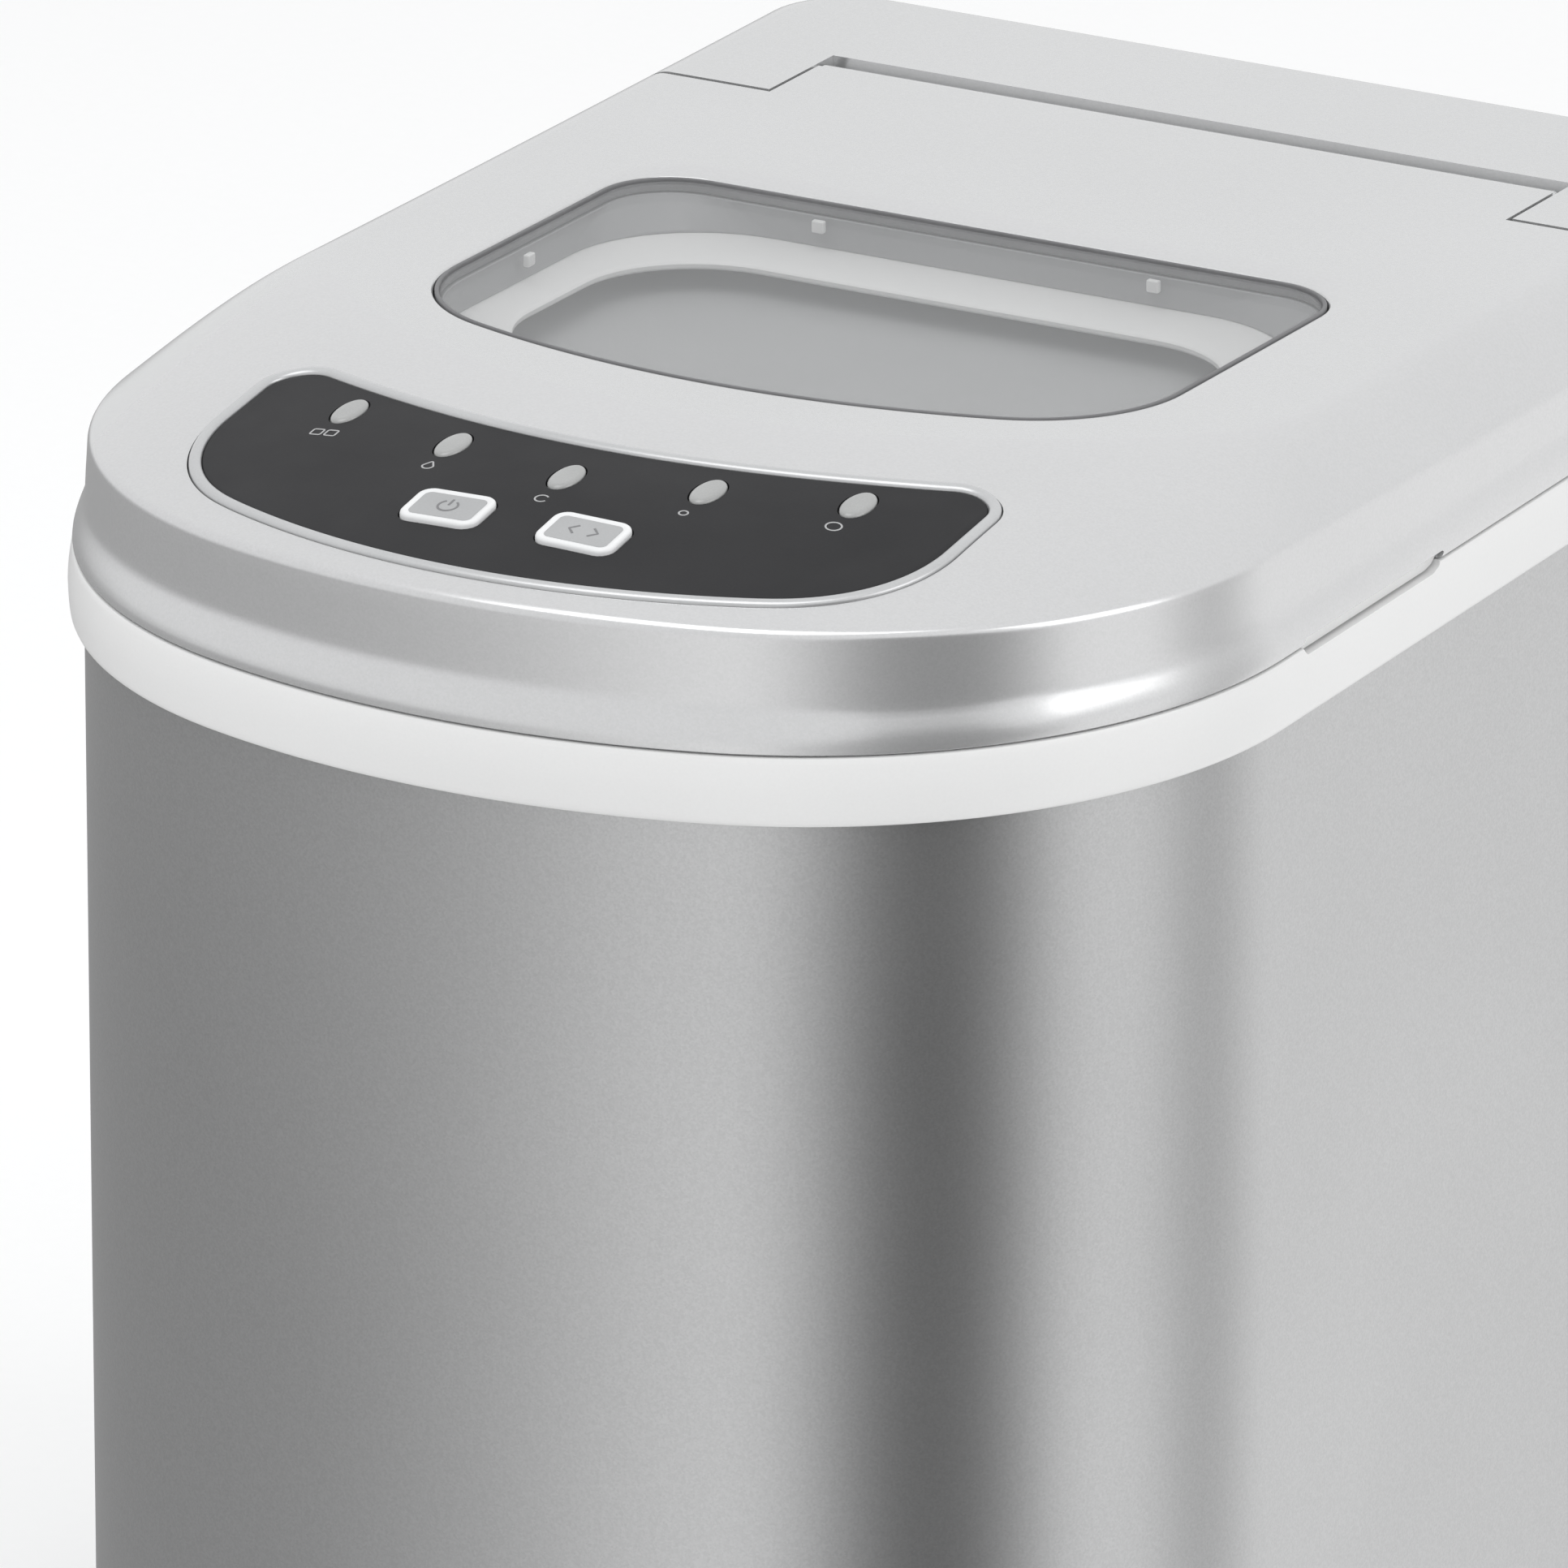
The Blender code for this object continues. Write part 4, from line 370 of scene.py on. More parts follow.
def block(name: str, low: Sequence[float], high: Sequence[float], round_edge: float = 0.0) -> bpy.types.Object:
    """A block between two corners, with its four upright edges and its top and bottom rims rounded.

    Args:
        name: The piece's name.
        low: Lowest corner.
        high: Highest corner.
        round_edge: Radius of the rounding; none for a cutter.

    Returns:
        The new object.
    """
    (x0, y0, z0), (x1, y1, z1) = low, high
    middle = np.array([(x0 + x1) / 2, (y0 + y1) / 2])
    size = np.array([x1 - x0, y1 - y0])
    if round_edge <= 0:
        corners = np.array([[x1, y0], [x1, y1], [x0, y1], [x0, y0]])
        return prism(name, corners, z0, z1)
    turn = np.linspace(0, np.pi / 2, 4)
    rings = []
    for z, base, sign in ((z0, 1, 1), (z1, -1, -1)):
        angles = turn if sign > 0 else turn[::-1]
        for angle in angles:
            cut_in = round_edge * (1 - math.sin(angle))
            lift = round_edge * (1 - math.cos(angle))
            rings.append(level(soft_rectangle(middle, size - 2 * cut_in, max(round_edge - cut_in, 0.02 * MM)),
                               z + base * lift))
    return loft(name, np.array(rings), sharp=50)


def soft_rectangle(middle: Array, size: Array, corner: float, steps: int = 6) -> Array:
    """Rectangle with round corners, going anticlockwise from the right side.

    Args:
        middle: Its centre.
        size: Its width and height.
        corner: Radius of the corners.
        steps: Points in each corner.

    Returns:
        Array of (4 * steps, 2).
    """
    turns = [np.linspace(k * np.pi / 2, (k + 1) * np.pi / 2, steps) for k in range(4)]
    signs = ((1, 1), (-1, 1), (-1, -1), (1, -1))
    parts = []
    for turn, (sx, sy) in zip(turns, signs):
        parts.append(np.stack([middle[0] + sx * (size[0] / 2 - corner) + corner * np.cos(turn),
                               middle[1] + sy * (size[1] / 2 - corner) + corner * np.sin(turn)], axis=1))
    return np.concatenate(parts)


def oval(middle: Sequence[float], half: Sequence[float], steps: int = 40) -> Array:
    """An ellipse, anticlockwise."""
    turn = np.linspace(0, 2 * np.pi, steps, endpoint=False)
    return np.stack([middle[0] + half[0] * np.cos(turn), middle[1] + half[1] * np.sin(turn)], axis=1)


def turned(name: str, profile: Sequence[Tuple[float, float]], centre: Sequence[float], axis: str = "Z",
           steps: int = 56, sharp: float = 34.0) -> bpy.types.Object:
    """A solid turned about a line through a centre.

    Each profile point (radius, along) makes a ring: radius times cosine and sine round the line, and its
    distance along it.  The two ends are capped.

    Args:
        name: The piece's name.
        profile: Radius and distance along the axis, in order, with radii over zero.
        centre: A point on the axis.
        axis: X, Y or Z.
        steps: Points in a ring.
        sharp: Angle over which an edge stays sharp.

    Returns:
        The new object.
    """
    turn = np.linspace(0, 2 * np.pi, steps, endpoint=False)
    line = np.asarray(profile, float)
    radius, along = np.maximum(line[:, :1], 0.02 * MM), line[:, 1:]
    one, two = radius * np.cos(turn), radius * np.sin(turn)
    lift = np.broadcast_to(along, one.shape)
    order = {"Z": (one, two, lift), "X": (lift, one, two), "Y": (one, lift, two)}[axis]
    rings = np.stack(order, axis=2) + np.asarray(centre, float)
    return loft(name, rings, sharp=sharp)


def carve(piece: bpy.types.Object, how: Cut, *cutters: bpy.types.Object, sharp: float = 34.0) -> bpy.types.Object:
    """Apply Boolean cutters to a piece and remove them.

    Args:
        piece: The piece to change.
        how: What the cutters do.
        cutters: Closed meshes.
        sharp: Angle over which an edge of the result stays sharp.

    Returns:
        The same object with its new mesh.
    """
    for number, cutter in enumerate(cutters):
        change = piece.modifiers.new("change_%d" % number, "BOOLEAN")
        change.operation = how.value
        change.object = cutter
        change.solver = "MANIFOLD"
    bpy.context.view_layer.update()
    graph = bpy.context.evaluated_depsgraph_get()
    mesh = bpy.data.meshes.new_from_object(piece.evaluated_get(graph))
    piece.modifiers.clear()
    old = piece.data
    piece.data = mesh
    bpy.data.meshes.remove(old)
    mesh.name = piece.name
    for cutter in cutters:
        gone = cutter.data
        bpy.data.objects.remove(cutter, do_unlink=True)
        bpy.data.meshes.remove(gone)
    return smooth(piece, sharp)


def merged(name: str, pieces: Sequence[bpy.types.Object], sharp: float = 34.0) -> bpy.types.Object:
    """One object from several separate solids, which are removed.

    Args:
        name: The new piece's name.
        pieces: The solids.
        sharp: Angle in degrees over which an edge stays sharp.

    Returns:
        The new object.
    """
    mesh = bpy.data.meshes.new(name)
    bm = bmesh.new()
    for piece in pieces:
        bm.from_mesh(piece.data)
    bm.to_mesh(mesh)
    bm.free()
    for piece in pieces:
        gone = piece.data
        bpy.data.objects.remove(piece, do_unlink=True)
        bpy.data.meshes.remove(gone)
    whole = bpy.data.objects.new(name, mesh)
    bpy.context.scene.collection.objects.link(whole)
    return smooth(whole, sharp)


def refined(node: str, edge: float = 0.35 * MM, angle: float = 30.0) -> bpy.types.Object:
    """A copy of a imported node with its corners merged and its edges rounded, which stands for the node.

    Args:
        node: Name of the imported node.
        edge: Width of the rounding on its edges; none at zero.
        angle: Edges over this many degrees are rounded and stay sharp in shading.

    Returns:
        The new object, riding on the node's body.
    """
    source = frame["nodes"][node]
    mesh = source.data.copy()
    bm = bmesh.new()
    bm.from_mesh(mesh)
    bmesh.ops.remove_doubles(bm, verts=bm.verts, dist=0.000002)
    bmesh.ops.dissolve_limit(bm, angle_limit=math.radians(0.6), verts=bm.verts, edges=bm.edges)
    bm.to_mesh(mesh)
    bm.free()
    mesh.materials.clear()
    piece = bpy.data.objects.new(node + "_fine", mesh)
    bpy.context.scene.collection.objects.link(piece)
    smooth(piece, angle)
    if edge > 0:
        rounding = piece.modifiers.new("edges", "BEVEL")
        rounding.width = edge
        rounding.segments = 2
        rounding.limit_method = "ANGLE"
        rounding.angle_limit = math.radians(angle)
        rounding.harden_normals = True
    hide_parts(node)
    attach(piece, source["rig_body"])
    return piece


# ---------------------------------------------------------------------------------------------- shading
class Value:
    """A number in a node tree, which may be an output socket; sums and products add Math nodes."""

    def __init__(self, tree: bpy.types.NodeTree, socket: Union[bpy.types.NodeSocket, float]) -> None:
        """Hold a socket or a plain number."""
        self.tree = tree
        self.socket = socket

    def combine(self, operation: str, *others: Union["Value", float], clamp: bool = False) -> "Value":
        """Add one Math node over this value and others.

        Args:
            operation: The node's operation.
            others: Values or plain numbers for its other inputs.
            clamp: Whether the result is kept between 0 and 1.

        Returns:
            The result.
        """
        node = self.tree.nodes.new("ShaderNodeMath")
        node.operation = operation
        node.use_clamp = clamp
        for slot, item in zip(node.inputs, (self, *others)):
            raw = item.socket if isinstance(item, Value) else item
            if isinstance(raw, (int, float)):
                slot.default_value = float(raw)
            else:
                self.tree.links.new(raw, slot)
        return Value(self.tree, node.outputs[0])

    def __add__(self, other: Union["Value", float]) -> "Value":
        """Sum."""
        return self.combine("ADD", other)

    __radd__ = __add__

    def __mul__(self, other: Union["Value", float]) -> "Value":
        """Product."""
        return self.combine("MULTIPLY", other)

    __rmul__ = __mul__

    def __sub__(self, other: Union["Value", float]) -> "Value":
        """Difference."""
        return self.combine("SUBTRACT", other)

    def __rsub__(self, other: Union["Value", float]) -> "Value":
        """Difference from a number."""
        return Value(self.tree, other).combine("SUBTRACT", self)

    def __truediv__(self, other: Union["Value", float]) -> "Value":
        """Quotient."""
        return self.combine("DIVIDE", other)

    def __pow__(self, other: Union["Value", float]) -> "Value":
        """Power."""
        return self.combine("POWER", other)

    def above(self, edge: float, width: float) -> "Value":
        """Rises from 0 to 1 over a width centred on an edge."""
        return ((self - (edge - width / 2)) / width).clamp()

    def clamp(self) -> "Value":
        """Kept between 0 and 1."""
        return self.combine("ADD", 0.0, clamp=True)


Input = Union[Value, bpy.types.NodeSocket, float, Sequence[float]]
COLOUR_A, COLOUR_B, MIXED_COLOUR = 6, 7, 2


class Shading:
    """A node tree being filled: makes nodes, reads coordinates and mixes colours."""

    def __init__(self, tree: bpy.types.NodeTree) -> None:
        """Start from an empty tree."""
        self.tree = tree
        self.tree.nodes.clear()

    def node(self, kind: str, settings: Optional[Dict[str, object]] = None,
             inputs: Optional[Dict[Union[str, int], Input]] = None) -> bpy.types.Node:
        """Add a node.

        Args:
            kind: Node type, without its common prefix.
            settings: Properties of the node, set first; a ramp's stops are (place, colour) pairs.
            inputs: Values or links by socket name or number.

        Returns:
            The node.
        """
        node = self.tree.nodes.new("ShaderNode" + kind)
        for key, value in (settings or {}).items():
            if key == "stops":
                ramp = node.color_ramp
                while len(ramp.elements) > 1:
                    ramp.elements.remove(ramp.elements[-1])
                for number, (where, colour) in enumerate(value):
                    element = ramp.elements[0] if number == 0 else ramp.elements.new(where)
                    element.position = where
                    element.color = (*colour, 1.0)
            elif key == "interpolation":
                node.color_ramp.interpolation = value
            else:
                setattr(node, key, value)
        for key, value in (inputs or {}).items():
            raw = value.socket if isinstance(value, Value) else value
            slot = node.inputs[key]
            if isinstance(raw, bpy.types.NodeSocket):
                self.tree.links.new(raw, slot)
            elif isinstance(raw, (int, float)):
                slot.default_value = float(raw)
            else:
                slot.default_value = tuple(raw) if len(raw) == len(slot.default_value) else (*raw, 1.0)
        return node

    def value(self, socket: Union[bpy.types.NodeSocket, float]) -> Value:
        """Wrap a socket for arithmetic."""
        return Value(self.tree, socket)

    def place(self, scale: Sequence[float] = (1.0, 1.0, 1.0)) -> bpy.types.NodeSocket:
        """Object coordinates in metres, stretched by a scale."""
        coordinates = self.node("TexCoord").outputs["Object"]
        return self.node("Mapping", {}, {"Vector": coordinates, "Scale": scale}).outputs[0]

    def noise(self, scale: float, detail: float = 2.0, stretch: Sequence[float] = (1.0, 1.0, 1.0),
              roughness: float = 0.5) -> Value:
        """Cloudy noise from 0 to 1.

        Args:
            scale: Features per metre.
            detail: Number of finer layers.
            stretch: Scale of each axis.
            roughness: Strength of each finer layer.

        Returns:
            The noise.
        """
        made = self.node("TexNoise", {}, {"Vector": self.place(stretch), "Scale": scale, "Detail": detail,
                                          "Roughness": roughness})
        return self.value(made.outputs[0])

    def cells(self, scale: float) -> Value:
        """A random number for each small cell, as on a metal flake coat.

        Args:
            scale: Cells per metre.

        Returns:
            The number, from 0 to 1.
        """
        made = self.node("TexVoronoi", {}, {"Vector": self.place(), "Scale": scale})
        parts = self.node("SeparateColor", {}, {"Color": made.outputs["Color"]})
        return self.value(parts.outputs[0])

    def tint(self, one: Input, two: Input, share: Value) -> bpy.types.NodeSocket:
        """A colour between two, by a share."""
        made = self.node("Mix", {"data_type": "RGBA"}, {"Factor": share, COLOUR_A: one, COLOUR_B: two})
        return made.outputs[MIXED_COLOUR]

    def bump(self, height: Value, depth: float, strength: float = 1.0) -> bpy.types.NodeSocket:
        """A normal from a height share, with the full height in metres."""
        return self.node("Bump", {}, {"Height": height, "Distance": depth, "Strength": strength}).outputs[0]


MADE: Dict[str, bpy.types.Material] = {}


@dataclass(frozen=True)
class Finish:
    """A surface finish: two close colours, how shiny, how metallic, its grain and its orange peel."""

    name: str
    dark: Colour
    light: Colour
    roughness: float
    metallic: float = 0.0
    coat: float = 0.0
    coat_roughness: float = 0.1
    specular: float = 0.5
    cloud: float = 25.0
    grain: float = 1500.0
    grain_depth: float = 0.01 * MM
    spread: float = 0.05
    flake: float = 0.0
    stretch: Tuple[float, float, float] = (1.0, 1.0, 1.0)
    alpha: float = 1.0

    def make(self) -> bpy.types.Material:
        """The material, made once and then shared.

        The colour lies between the two by broad clouds and fine grain, the roughness varies a little by a
        second cloud, and the grain raises the surface by its depth.

        Returns:
            The material.
        """
        if self.name in MADE:
            return MADE[self.name]
        material = bpy.data.materials.new(self.name)
        MADE[self.name] = material
        material.use_nodes = True
        sh = Shading(material.node_tree)
        cloud = sh.noise(self.cloud, 3.0, self.stretch)
        grain = sh.noise(self.grain, 2.0, self.stretch)
        share = (cloud * 0.6 + grain * 0.4).above(0.5, 0.55)
        if self.flake > 0:
            share = (share * (1 - self.flake) + sh.cells(2600.0) * self.flake).clamp()
        rough = sh.noise(self.cloud * 2.7, 3.0, self.stretch) * (2 * self.spread) + (self.roughness - self.spread)
        surface = sh.node("BsdfPrincipled", {}, {
            "Base Color": sh.tint(self.dark, self.light, share), "Roughness": rough, "Metallic": self.metallic,
            "Coat Weight": self.coat, "Coat Roughness": self.coat_roughness, "Alpha": self.alpha,
            "Specular IOR Level": self.specular, "Normal": sh.bump(grain, self.grain_depth)})
        sh.node("OutputMaterial", {}, {"Surface": surface.outputs[0]})
        return material


LID_PAINT = Finish("lid_paint", (0.63, 0.633, 0.636), (0.735, 0.738, 0.741), 0.21, metallic=0.66, coat=0.05,
                   coat_roughness=0.25, cloud=9.0, grain=2400.0, grain_depth=0.004 * MM, spread=0.03, flake=0.35)
BODY_PAINT = Finish("body_paint", (0.50, 0.502, 0.505), (0.64, 0.642, 0.645), 0.30, metallic=0.9, coat=0.0,
                    cloud=7.0, grain=1700.0, grain_depth=0.005 * MM, spread=0.025, flake=0.4)
COLLAR_PLASTIC = Finish("collar_plastic", (0.76, 0.76, 0.757), (0.81, 0.81, 0.807), 0.34, coat=0.15,
                        cloud=14.0, grain=1900.0, grain_depth=0.004 * MM)
PALE_PLASTIC = Finish("pale_moulding", (0.66, 0.66, 0.655), (0.74, 0.74, 0.735), 0.42, cloud=20.0, grain=1400.0)
HOUSING_PLASTIC = Finish("housing_plastic", (0.30, 0.303, 0.306), (0.37, 0.373, 0.376), 0.5, cloud=20.0,
                         grain=1300.0, grain_depth=0.03 * MM)
# Dark colour on a pale moulding: painted shade for the wall between the pane and the inner panel.
APRON_PAINTED_SHADE = Finish("apron_painted_shade", (0.20, 0.203, 0.206), (0.25, 0.253, 0.256), 0.45, cloud=20.0,
                       grain=1400.0)
GREY_PLASTIC = Finish("grey_moulding", (0.27, 0.273, 0.276), (0.33, 0.333, 0.336), 0.5, cloud=20.0, grain=1300.0,
                      grain_depth=0.03 * MM)
LINER_PLASTIC = Finish("liner_plastic", (0.62, 0.62, 0.617), (0.69, 0.69, 0.687), 0.42, cloud=20.0,
                       grain=1400.0)
BEZEL_PLASTIC = Finish("bezel_plastic", (0.50, 0.505, 0.51), (0.60, 0.605, 0.61), 0.3, metallic=0.5, coat=0.2,
                       cloud=30.0, grain=2000.0, grain_depth=0.004 * MM)
PANEL_PLASTIC = Finish("panel_plastic", (0.024, 0.024, 0.0255), (0.034, 0.034, 0.0355), 0.42, specular=0.08,
                       cloud=40.0, grain=2600.0, grain_depth=0.006 * MM)
BUTTON_PLASTIC = Finish("button_plastic", (0.36, 0.365, 0.37), (0.43, 0.435, 0.44), 0.42, cloud=60.0,
                        grain=2600.0, grain_depth=0.006 * MM)
BUTTON_RIM = Finish("button_rim", (0.76, 0.765, 0.77), (0.84, 0.845, 0.85), 0.36, cloud=60.0, grain=2600.0,
                    grain_depth=0.004 * MM)
LENS = Finish("lamp_lens", (0.31, 0.314, 0.31), (0.41, 0.414, 0.41), 0.25, coat=0.4, cloud=120.0, grain=3000.0,
              grain_depth=0.003 * MM)
MARK = Finish("panel_mark", (0.36, 0.36, 0.365), (0.44, 0.44, 0.445), 0.5, cloud=200.0, grain=3000.0)
MARK_DARK = Finish("button_mark", (0.17, 0.17, 0.175), (0.22, 0.22, 0.225), 0.5, cloud=200.0, grain=3000.0)
RUBBER = Finish("foot_rubber", (0.018, 0.018, 0.018), (0.034, 0.034, 0.034), 0.72, cloud=50.0, grain=1600.0,
                grain_depth=0.04 * MM)
SEAL = Finish("seal_rubber", (0.13, 0.13, 0.134), (0.19, 0.19, 0.195), 0.5, cloud=60.0, grain=1800.0)
PANE = Finish("window_glazing", (0.66, 0.67, 0.675), (0.72, 0.73, 0.735), 0.06, cloud=10.0, grain=600.0,
              grain_depth=0.002 * MM, spread=0.02, alpha=0.16)
CLEAR = Finish("clear_moulding", (0.66, 0.68, 0.70), (0.76, 0.78, 0.80), 0.12, cloud=16.0, grain=700.0,
               grain_depth=0.01 * MM, spread=0.04, alpha=0.42)
DARK_PLASTIC = Finish("dark_moulding", (0.045, 0.045, 0.048), (0.07, 0.07, 0.074), 0.46, cloud=30.0,
                      grain=1500.0, grain_depth=0.03 * MM)
STEEL = Finish("plain_steel", (0.46, 0.46, 0.47), (0.60, 0.60, 0.61), 0.30, metallic=1.0, cloud=40.0,
               grain=2200.0, grain_depth=0.006 * MM, spread=0.08)
COPPER = Finish("drawn_copper", (0.60, 0.27, 0.15), (0.80, 0.42, 0.26), 0.30, metallic=1.0, cloud=60.0,
                grain=1500.0, grain_depth=0.006 * MM, spread=0.1)
ENAMEL = Finish("black_enamel", (0.016, 0.016, 0.017), (0.03, 0.03, 0.032), 0.34, coat=0.3, cloud=35.0,
                grain=900.0, grain_depth=0.03 * MM)
FINS = Finish("bare_fins", (0.58, 0.59, 0.60), (0.72, 0.73, 0.74), 0.38, metallic=1.0, cloud=30.0, grain=1800.0,
              stretch=(1.0, 1.0, 6.0), spread=0.08)
BOARD = Finish("printed_board", (0.02, 0.12, 0.05), (0.04, 0.19, 0.08), 0.42, cloud=120.0, grain=2200.0)
FOAM = Finish("rigid_foam", (0.62, 0.54, 0.36), (0.76, 0.69, 0.50), 0.9, cloud=60.0, grain=900.0,
              grain_depth=0.25 * MM)
FLOOR = Finish("pale_floor", (0.93, 0.93, 0.93), (0.95, 0.95, 0.95), 0.55, cloud=3.0, grain=300.0)


def finish_piece(piece: bpy.types.Object, finish: Finish, body: Optional[str] = None, *nodes: str,
                 slot: Optional[str] = None) -> bpy.types.Object:
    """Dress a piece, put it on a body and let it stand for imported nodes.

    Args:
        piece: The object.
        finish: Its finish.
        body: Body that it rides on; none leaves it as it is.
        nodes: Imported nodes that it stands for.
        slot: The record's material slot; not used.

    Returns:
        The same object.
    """
    piece.data.materials.clear()
    piece.data.materials.append(finish.make())
    if nodes:
        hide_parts(*nodes)
    if body:
        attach(piece, body)
    LOG.info("%s: %d faces", piece.name, len(piece.data.polygons))
    return piece


def dress_copies(rows: Sequence[Tuple[str, Finish, str, float]]) -> None:
    """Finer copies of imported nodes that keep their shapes.

    Args:
        rows: Node, finish, material slot, and width of the rounded edges in millimetres.
    """
    for node, finish, slot, edge in rows:
        piece = refined(node, edge * MM)
        piece.data.materials.append(finish.make())
        LOG.info("%s: %d faces", piece.name, len(piece.data.polygons))


# ---------------------------------------------------------------------------------------------- lid and cover
@dataclass
class MouldedTop:
    """The moulded top's wall, from which the lid and the rear cover are both cut."""

    skirt: Tuple[Tuple[float, float], ...] = ((13.70, 1.55), (13.74, 1.20), (13.95, 0.96), (14.4, 0.90),
                                              (15.6, 1.04), (17.0, 1.42), (18.4, 1.92), (19.8, 2.46),
                                              (21.0, 2.92), (22.0, 3.20), (23.2, 3.36), (24.4, 3.42))
    fillet: float = 2.2 * MM
    window_round: float = 0.7 * MM

    def rings(self) -> Array:
        """Rings of the outer face, over the window's edge, and back along the inner face.

        The skirt follows a table of height and inset, the rim is a small Bezier arc, the shoulder a quarter
        sine, the plateau a straight loft to the window's edge.  The inner face is the same, one wall in.

        Returns:
            Array of (rings, points, 3).
        """
        rows = [level(BASE.inset(inset * MM).points(), LAY.band_bottom + rise * MM) for rise, inset in self.skirt]
        rim = TOP.rim.points()
        rim_z = TOP.rim_height(rim[:, 1])
        last = LAY.band_bottom + self.skirt[-1][0] * MM
        for share, inset in ((0.3, 3.55), (0.65, 3.75), (1.0, 3.92)):
            rows.append(level(BASE.inset(inset * MM).points(), last + (rim_z - self.fillet * 0.8 - last) * share))
        width = np.linalg.norm(TOP.ridge.points() - rim, axis=1)
        first = self.fillet / width
        start = TOP.shoulder(first[None, :])[0]
        corner = level(rim, rim_z)
        for t in (0.17, 0.34, 0.5, 0.66, 0.83):
            rows.append(rows[14] * (1 - t) ** 2 + corner * 2 * t * (1 - t) + start * t ** 2)
        shares = np.linspace(0, 1, 30)[:, None]
        rows.extend(TOP.shoulder(first[None, :] + (1 - first[None, :]) * shares))
        hole = WINDOW.inset(-LAY.gap)
        outer = hole.inset(-self.window_round).points()
        edge = TOP.flat_ring(outer, 0.0)
        rows.extend(self.on_plateau(between(rows[-1], edge, np.linspace(0.08, 1.0, 13))))
        for turn in np.radians((30.0, 60.0, 90.0)):
            out = hole.inset(-self.window_round * (1 - math.sin(turn))).points()
            rows.append(TOP.flat_ring(out, -self.window_round * (1 - math.cos(turn))))
        return np.array(rows + self.inner_rings(hole.points()))

    def on_plateau(self, rings: Array) -> List[Array]:
        """Rings lifted onto the plateau's height."""
        rings[..., 2] = TOP.plateau_height(rings[..., 1])
        return list(rings)

    def inner_rings(self, hole: Array) -> List[Array]:
        """Rings of the inner face, from the window's lower edge back down to the skirt.

        Args:
            hole: Plan outline of the window's opening.

        Returns:
            The rings in order.
        """
        wall = LAY.shell
        rows = [TOP.flat_ring(hole, -wall)]
        for share in (1.0, 0.8, 0.6, 0.4, 0.2):
            ring = TOP.shoulder(np.full((1, 1), share))[0]
            ring[:, 2] -= wall
            rows.append(ring)
        rim = TOP.rim.points()
        rim_z = TOP.rim_height(rim[:, 1])
        inner = BASE.inset(4.0 * MM + wall).points()
        rows.append(level(inner, rim_z - wall - 0.4 * MM))
        for rise, inset in ((24.4, 3.42), (22.0, 3.20), (19.8, 2.46), (17.0, 1.42), (14.4, 0.95), (13.70, 0.95)):
            limit = np.minimum(LAY.band_bottom + rise * MM, rim_z - wall - 1.0 * MM)
            rows.append(level(BASE.inset(inset * MM + wall).points(), limit))
        return rows

    def wall(self, name: str) -> bpy.types.Object:
        """The whole top as one closed wall."""
        return loft(name, self.rings(), closed=True)

    @staticmethod
    def region(name: str, grow: float) -> bpy.types.Object:
        """The lid's plan as a tall prism: straight at the ears, with a tongue between them.

        Args:
            name: The cutter's name.
            grow: Above zero, the plan is widened by the running gap round the lid.

        Returns:
            The new object.
        """
        far = LAY.half_width + 20 * MM
        running, gap = (0.8 * MM, 1.3 * MM) if grow else (0.0, 0.0)
        tongue = LAY.tongue + running
        ear = LAY.back(LAY.lid_back) + gap
        end = LAY.back(LAY.hinge_depth) + (LAY.hinge_radius + gap if grow else 0.0)
        front = LAY.back(-20 * MM)
        outline = np.array([[-far, front], [far, front], [far, ear], [tongue, ear], [tongue, end],
                            [-tongue, end], [-tongue, ear], [-far, ear]])
        return prism(name, outline, LAY.band_bottom - 20 * MM, LAY.band_bottom + 120 * MM)

    @staticmethod
    def hinge_point() -> Tuple[float, float]:
        """World y and z of the hinge axis."""
        y = float(LAY.back(LAY.hinge_depth))
        return y, float(TOP.plateau_height(np.array(y))) - LAY.hinge_radius


@dataclass(frozen=True)
class FingerSlot:
    """Pointed slot across the seam on each side."""

    middle: float = 139.5 * MM
    length: float = 56.0 * MM
    up: float = 1.7 * MM
    down: float = 1.5 * MM
    reach: float = 6.5 * MM

    def cutter(self, name: str, side: int, trim: float = 0.0, reach: Tuple[float, float] = (0.0, -4.0 * MM)
               ) -> bpy.types.Object:
        """A long bar through the wall: straight sides, a round front end and a slanted rear end.

        Args:
            name: The cutter's name.
            side: -1 for the left, 1 for the right.
            trim: How much smaller it is all round.
            reach: How far its inner and outer ends lie inside the band's side; none for the usual reach.

        Returns:
            The new object.
        """
        up, down = self.up - trim, self.down - trim
        half, mid = self.length / 2 - trim, (up - down) / 2
        tall = (up + down) / 2
        turn = np.linspace(0.5 * np.pi, 1.5 * np.pi, 16)
        nose = np.stack([-half + tall + tall * np.cos(turn), mid + tall * np.sin(turn)], axis=1)
        tail = np.array([[half - 5.0 * MM, -down], [half - 2.2 * MM, -down * 0.5], [half, up * 0.75],
                         [half - 0.6 * MM, up]])
        flat = np.concatenate([nose, tail])
        section = np.stack([np.zeros(len(flat)), LAY.back(self.middle) + flat[:, 0], LAY.deck + flat[:, 1]], axis=1)
        rings = []
        for x in (LAY.half_width - (reach[0] or self.reach), LAY.half_width - reach[1]):
            ring = section.copy()
            ring[:, 0] = side * x
            rings.append(ring)
        return loft(name, np.array(rings))


